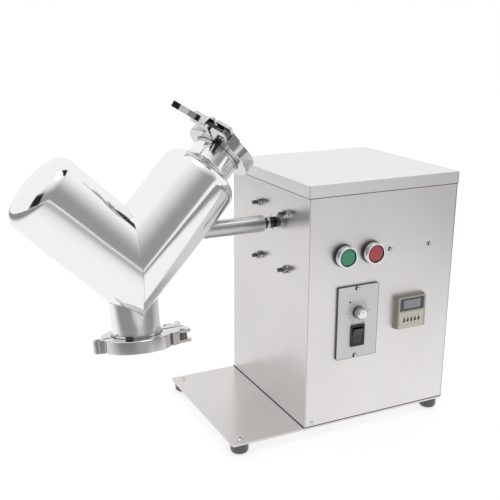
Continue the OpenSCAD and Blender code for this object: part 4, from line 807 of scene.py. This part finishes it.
mirror_steel = polished("mirror_polished_steel", (0.945, 0.945, 0.947), 0.05, 0.11, 0.0002)


def arm_frame(side):
    """The frame of an arm: z runs out along it from the crossing of the arms."""
    return VESSEL @ shifted(0, 0, -CROSS_DROP) @ Matrix.Rotation(side * math.pi / 4, 4, "Y")


body = bmesh.new()
for side in (-1, 1):
    half = bmesh.new()
    open_at = math.degrees(math.asin((TUBE_R - 0.001) / CROWN_R)) if side > 0 else 0.0
    ring = ([(ARM_R, -0.06), (ARM_R, 0.05), (ARM_R, 0.120), (ARM_R, ARM_L)]
            + arc(SHOULDER, ARM_L, KNUCKLE_R, 0, 90 - CROWN_TURN, 20)[1:]
            + arc(0, CROWN_Z, CROWN_R, 90 - CROWN_TURN, 90 - open_at, 12)[1:])
    if side < 0:
        ring[-1] = (0, ring[-1][1])
    turn(half, ring, Matrix.Rotation(side * math.pi / 4, 4, "Y"), 240)
    bmesh.ops.bisect_plane(half, geom=half.verts[:] + half.edges[:] + half.faces[:], dist=1e-7,
                           plane_co=(0, 0, 0), plane_no=(side, 0, 0), clear_inner=True)
    half_mesh = bpy.data.meshes.new("half")
    half.to_mesh(half_mesh)
    half.free()
    body.from_mesh(half_mesh)
    bpy.data.meshes.remove(half_mesh)
body.transform(VESSEL @ shifted(0, 0, -CROSS_DROP))
shell = piece(body, "polished_vessel", mirror_steel, "drum", "polished_steel", "vessel_shell", sharp=60)
wall = shell.modifiers.new("wall", "SOLIDIFY")
wall.thickness, wall.offset = WALL_T, -1

necks = bmesh.new()
neck_start = CROWN_Z + math.sqrt(CROWN_R ** 2 - TUBE_R ** 2)
neck_end = INLET_REACH - GASKET_T / 2 - FERRULE_L
# The neck flares into the dished end where it is welded on
flare = [(TUBE_R + outward, neck_start + along) for outward, along in (
    (0.0035, -0.0012), (0.0016, 0.0003), (0.0004, 0.0015), (0, 0.0034))]
turn(necks, [(TUBE_R - TUBE_T, neck_start - 0.004)] + flare
     + [(TUBE_R, neck_end), (TUBE_R - TUBE_T, neck_end)], arm_frame(1), 192, closed=True)
spigot_start = CROSS_DROP + 0.030
spigot_end = CROSS_DROP + OUTLET_REACH - GASKET_T / 2 - FERRULE_L
turn(necks, [(TUBE_R - TUBE_T, -spigot_end), (TUBE_R, -spigot_end), (TUBE_R, -spigot_start),
             (TUBE_R - TUBE_T, -spigot_start)], VESSEL, 192, closed=True)
piece(necks, "vessel_necks", mirror_steel, "drum", "polished_steel", sharp=40)


def weld_bead(name, points, radius):
    """A ground weld: a thin round bead along a closed line."""
    curve = bpy.data.curves.new(name, "CURVE")
    curve.dimensions, curve.bevel_depth, curve.bevel_resolution = "3D", radius, 2
    line = curve.splines.new("POLY")
    line.points.add(len(points) - 1)
    for target, point in zip(line.points, points):
        target.co = (*point, 1)
    line.use_cyclic_u = True
    curve.materials.append(weld_steel)
    obj = bpy.data.objects.new(name, curve)
    bpy.context.scene.collection.objects.link(obj)
    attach(obj, "drum")


weld = finish("ground_weld_steel", (0.62, 0.62, 0.62), 0.25, Metallic=1.0)
weld_steel = paint(weld, Roughness=0.2 + 0.2 * weld.noise(weld.place(), 900.0))
AROUND = 160
mitre_points, spigot_points = [], []
for i in range(AROUND):
    turned = 2 * math.pi * i / AROUND
    mitre_points.append(VESSEL @ Vector(
        (0, ARM_R * math.sin(turned), -CROSS_DROP + math.sqrt(2) * ARM_R * math.cos(turned))))
    x, y = TUBE_R * math.cos(turned), TUBE_R * math.sin(turned)
    spigot_points.append(VESSEL @ Vector(
        (x, y, -CROSS_DROP + abs(x) - math.sqrt(2 * (ARM_R ** 2 - y ** 2)))))
weld_bead("mitre_weld", mitre_points, 0.0003)
weld_bead("spigot_weld", spigot_points, 0.0006)

turned_sleeve = finish("turned_sleeve_steel", (0.60, 0.60, 0.60), 0.24, Metallic=1.0)
turning_marks = turned_sleeve.noise(turned_sleeve.stretched((900, 40, 40)), 1.0)
coat("drum_sleeve", paint(turned_sleeve, Roughness=0.2 + 0.12 * turning_marks), 0.0004)
coat("sleeve_screw", black_plastic, 0.0001)


# Clamp closures: the inlet's and the outlet's are the same set of cast and polished stainless pieces.
# A ferrule and a cap press a white gasket between them, held by two clamp halves on a hinge pin,
# which a threaded swing bolt, a washer and a wing nut draw together.
INLET_TURN = math.radians(228)
SWING_X, SWING_Y, EYE_R, EYE_HALF, EYE_CHAMFER = 0.056, 0.018, 0.006, 0.0042, 0.0006
SWING_R, SWING_L, SWING_PITCH, SWING_CHAMFER, PIN_HOLE = 0.004, 0.066, 0.00125, 0.0008, 0.00255
PLAIN_R, PLAIN_START, PLAIN_END = SWING_R - 0.0003, SWING_L - 0.0115, SWING_L - EYE_R + 0.001


def tumbled(name, colour, low, high):
    """Ground and tumbled stainless: a soft shine with fine cloudy wear."""
    look = finish(name, colour, low, Metallic=1.0)
    wear = look.noise(look.place(), 160.0, 3.0)
    fine = look.noise(look.place(), 1100.0, 2.0)
    return paint(look, Roughness=low + (high - low) * wear, Normal=bump(look, fine, 0.00001, 0.5))


clamp_steel = tumbled("satin_clamp_steel", (0.70, 0.69, 0.685), 0.07, 0.15)
cap_steel = tumbled("bright_cap_steel", (0.72, 0.715, 0.71), 0.06, 0.14)
silicone = finish("white_silicone", (0.78, 0.78, 0.75), 0.45)
silicone_cloud = silicone.noise(silicone.place(), 300.0, 2.0)
gasket_silicone = paint(silicone, Roughness=0.4 + 0.15 * silicone_cloud)
clamp_frames = {
    "inlet": arm_frame(1) @ shifted(0, 0, INLET_REACH) @ Matrix.Rotation(INLET_TURN, 4, "Z"),
    "outlet": VESSEL @ shifted(0, 0, -CROSS_DROP - OUTLET_REACH) @ Matrix.Rotation(math.pi, 4, "X")}
for port, clamp_at in clamp_frames.items():
    coat(f"{port}_ferrule", cap_steel, 0.0003)
    coat(f"{port}_cap", cap_steel, 0.0005)
    coat(f"{port}_gasket", gasket_silicone)
    coat(f"{port}_clamp_fixed", clamp_steel, 0.0008, 3)
    coat(f"{port}_clamp_half", clamp_steel, 0.0008, 3)
    coat(f"{port}_clamp_pins", bright_steel, 0.0003)
    coat(f"{port}_washer", bright_steel, 0.0003)
    coat(f"{port}_wing_nut", clamp_steel, 0.0009, 3)
    swing_at = clamp_at @ shifted(SWING_X, SWING_Y, 0)
    swing = bmesh.new()
    turn(swing, [(PIN_HOLE, -EYE_HALF), (EYE_R - EYE_CHAMFER, -EYE_HALF), (EYE_R, EYE_CHAMFER - EYE_HALF),
                 (EYE_R, EYE_HALF - EYE_CHAMFER), (EYE_R - EYE_CHAMFER, EYE_HALF), (PIN_HOLE, EYE_HALF)],
         swing_at, 64, closed=True)
    along = swing_at @ Matrix.Rotation(math.pi / 2, 4, "X")
    turn(swing, [(0, 0)] + thread(SWING_R, SWING_PITCH, 0.0, SWING_L - 0.012, SWING_CHAMFER)
         + [(PLAIN_R, PLAIN_START), (PLAIN_R, PLAIN_END)],
         along @ shifted(0, 0, SWING_L) @ Matrix.Rotation(math.pi, 4, "X"), 48)
    piece(swing, f"{port}_threaded_swing_bolt", thread_steel, f"{port}_bolt", "bright_steel",
          f"{port}_swing_bolt", sharp=25)
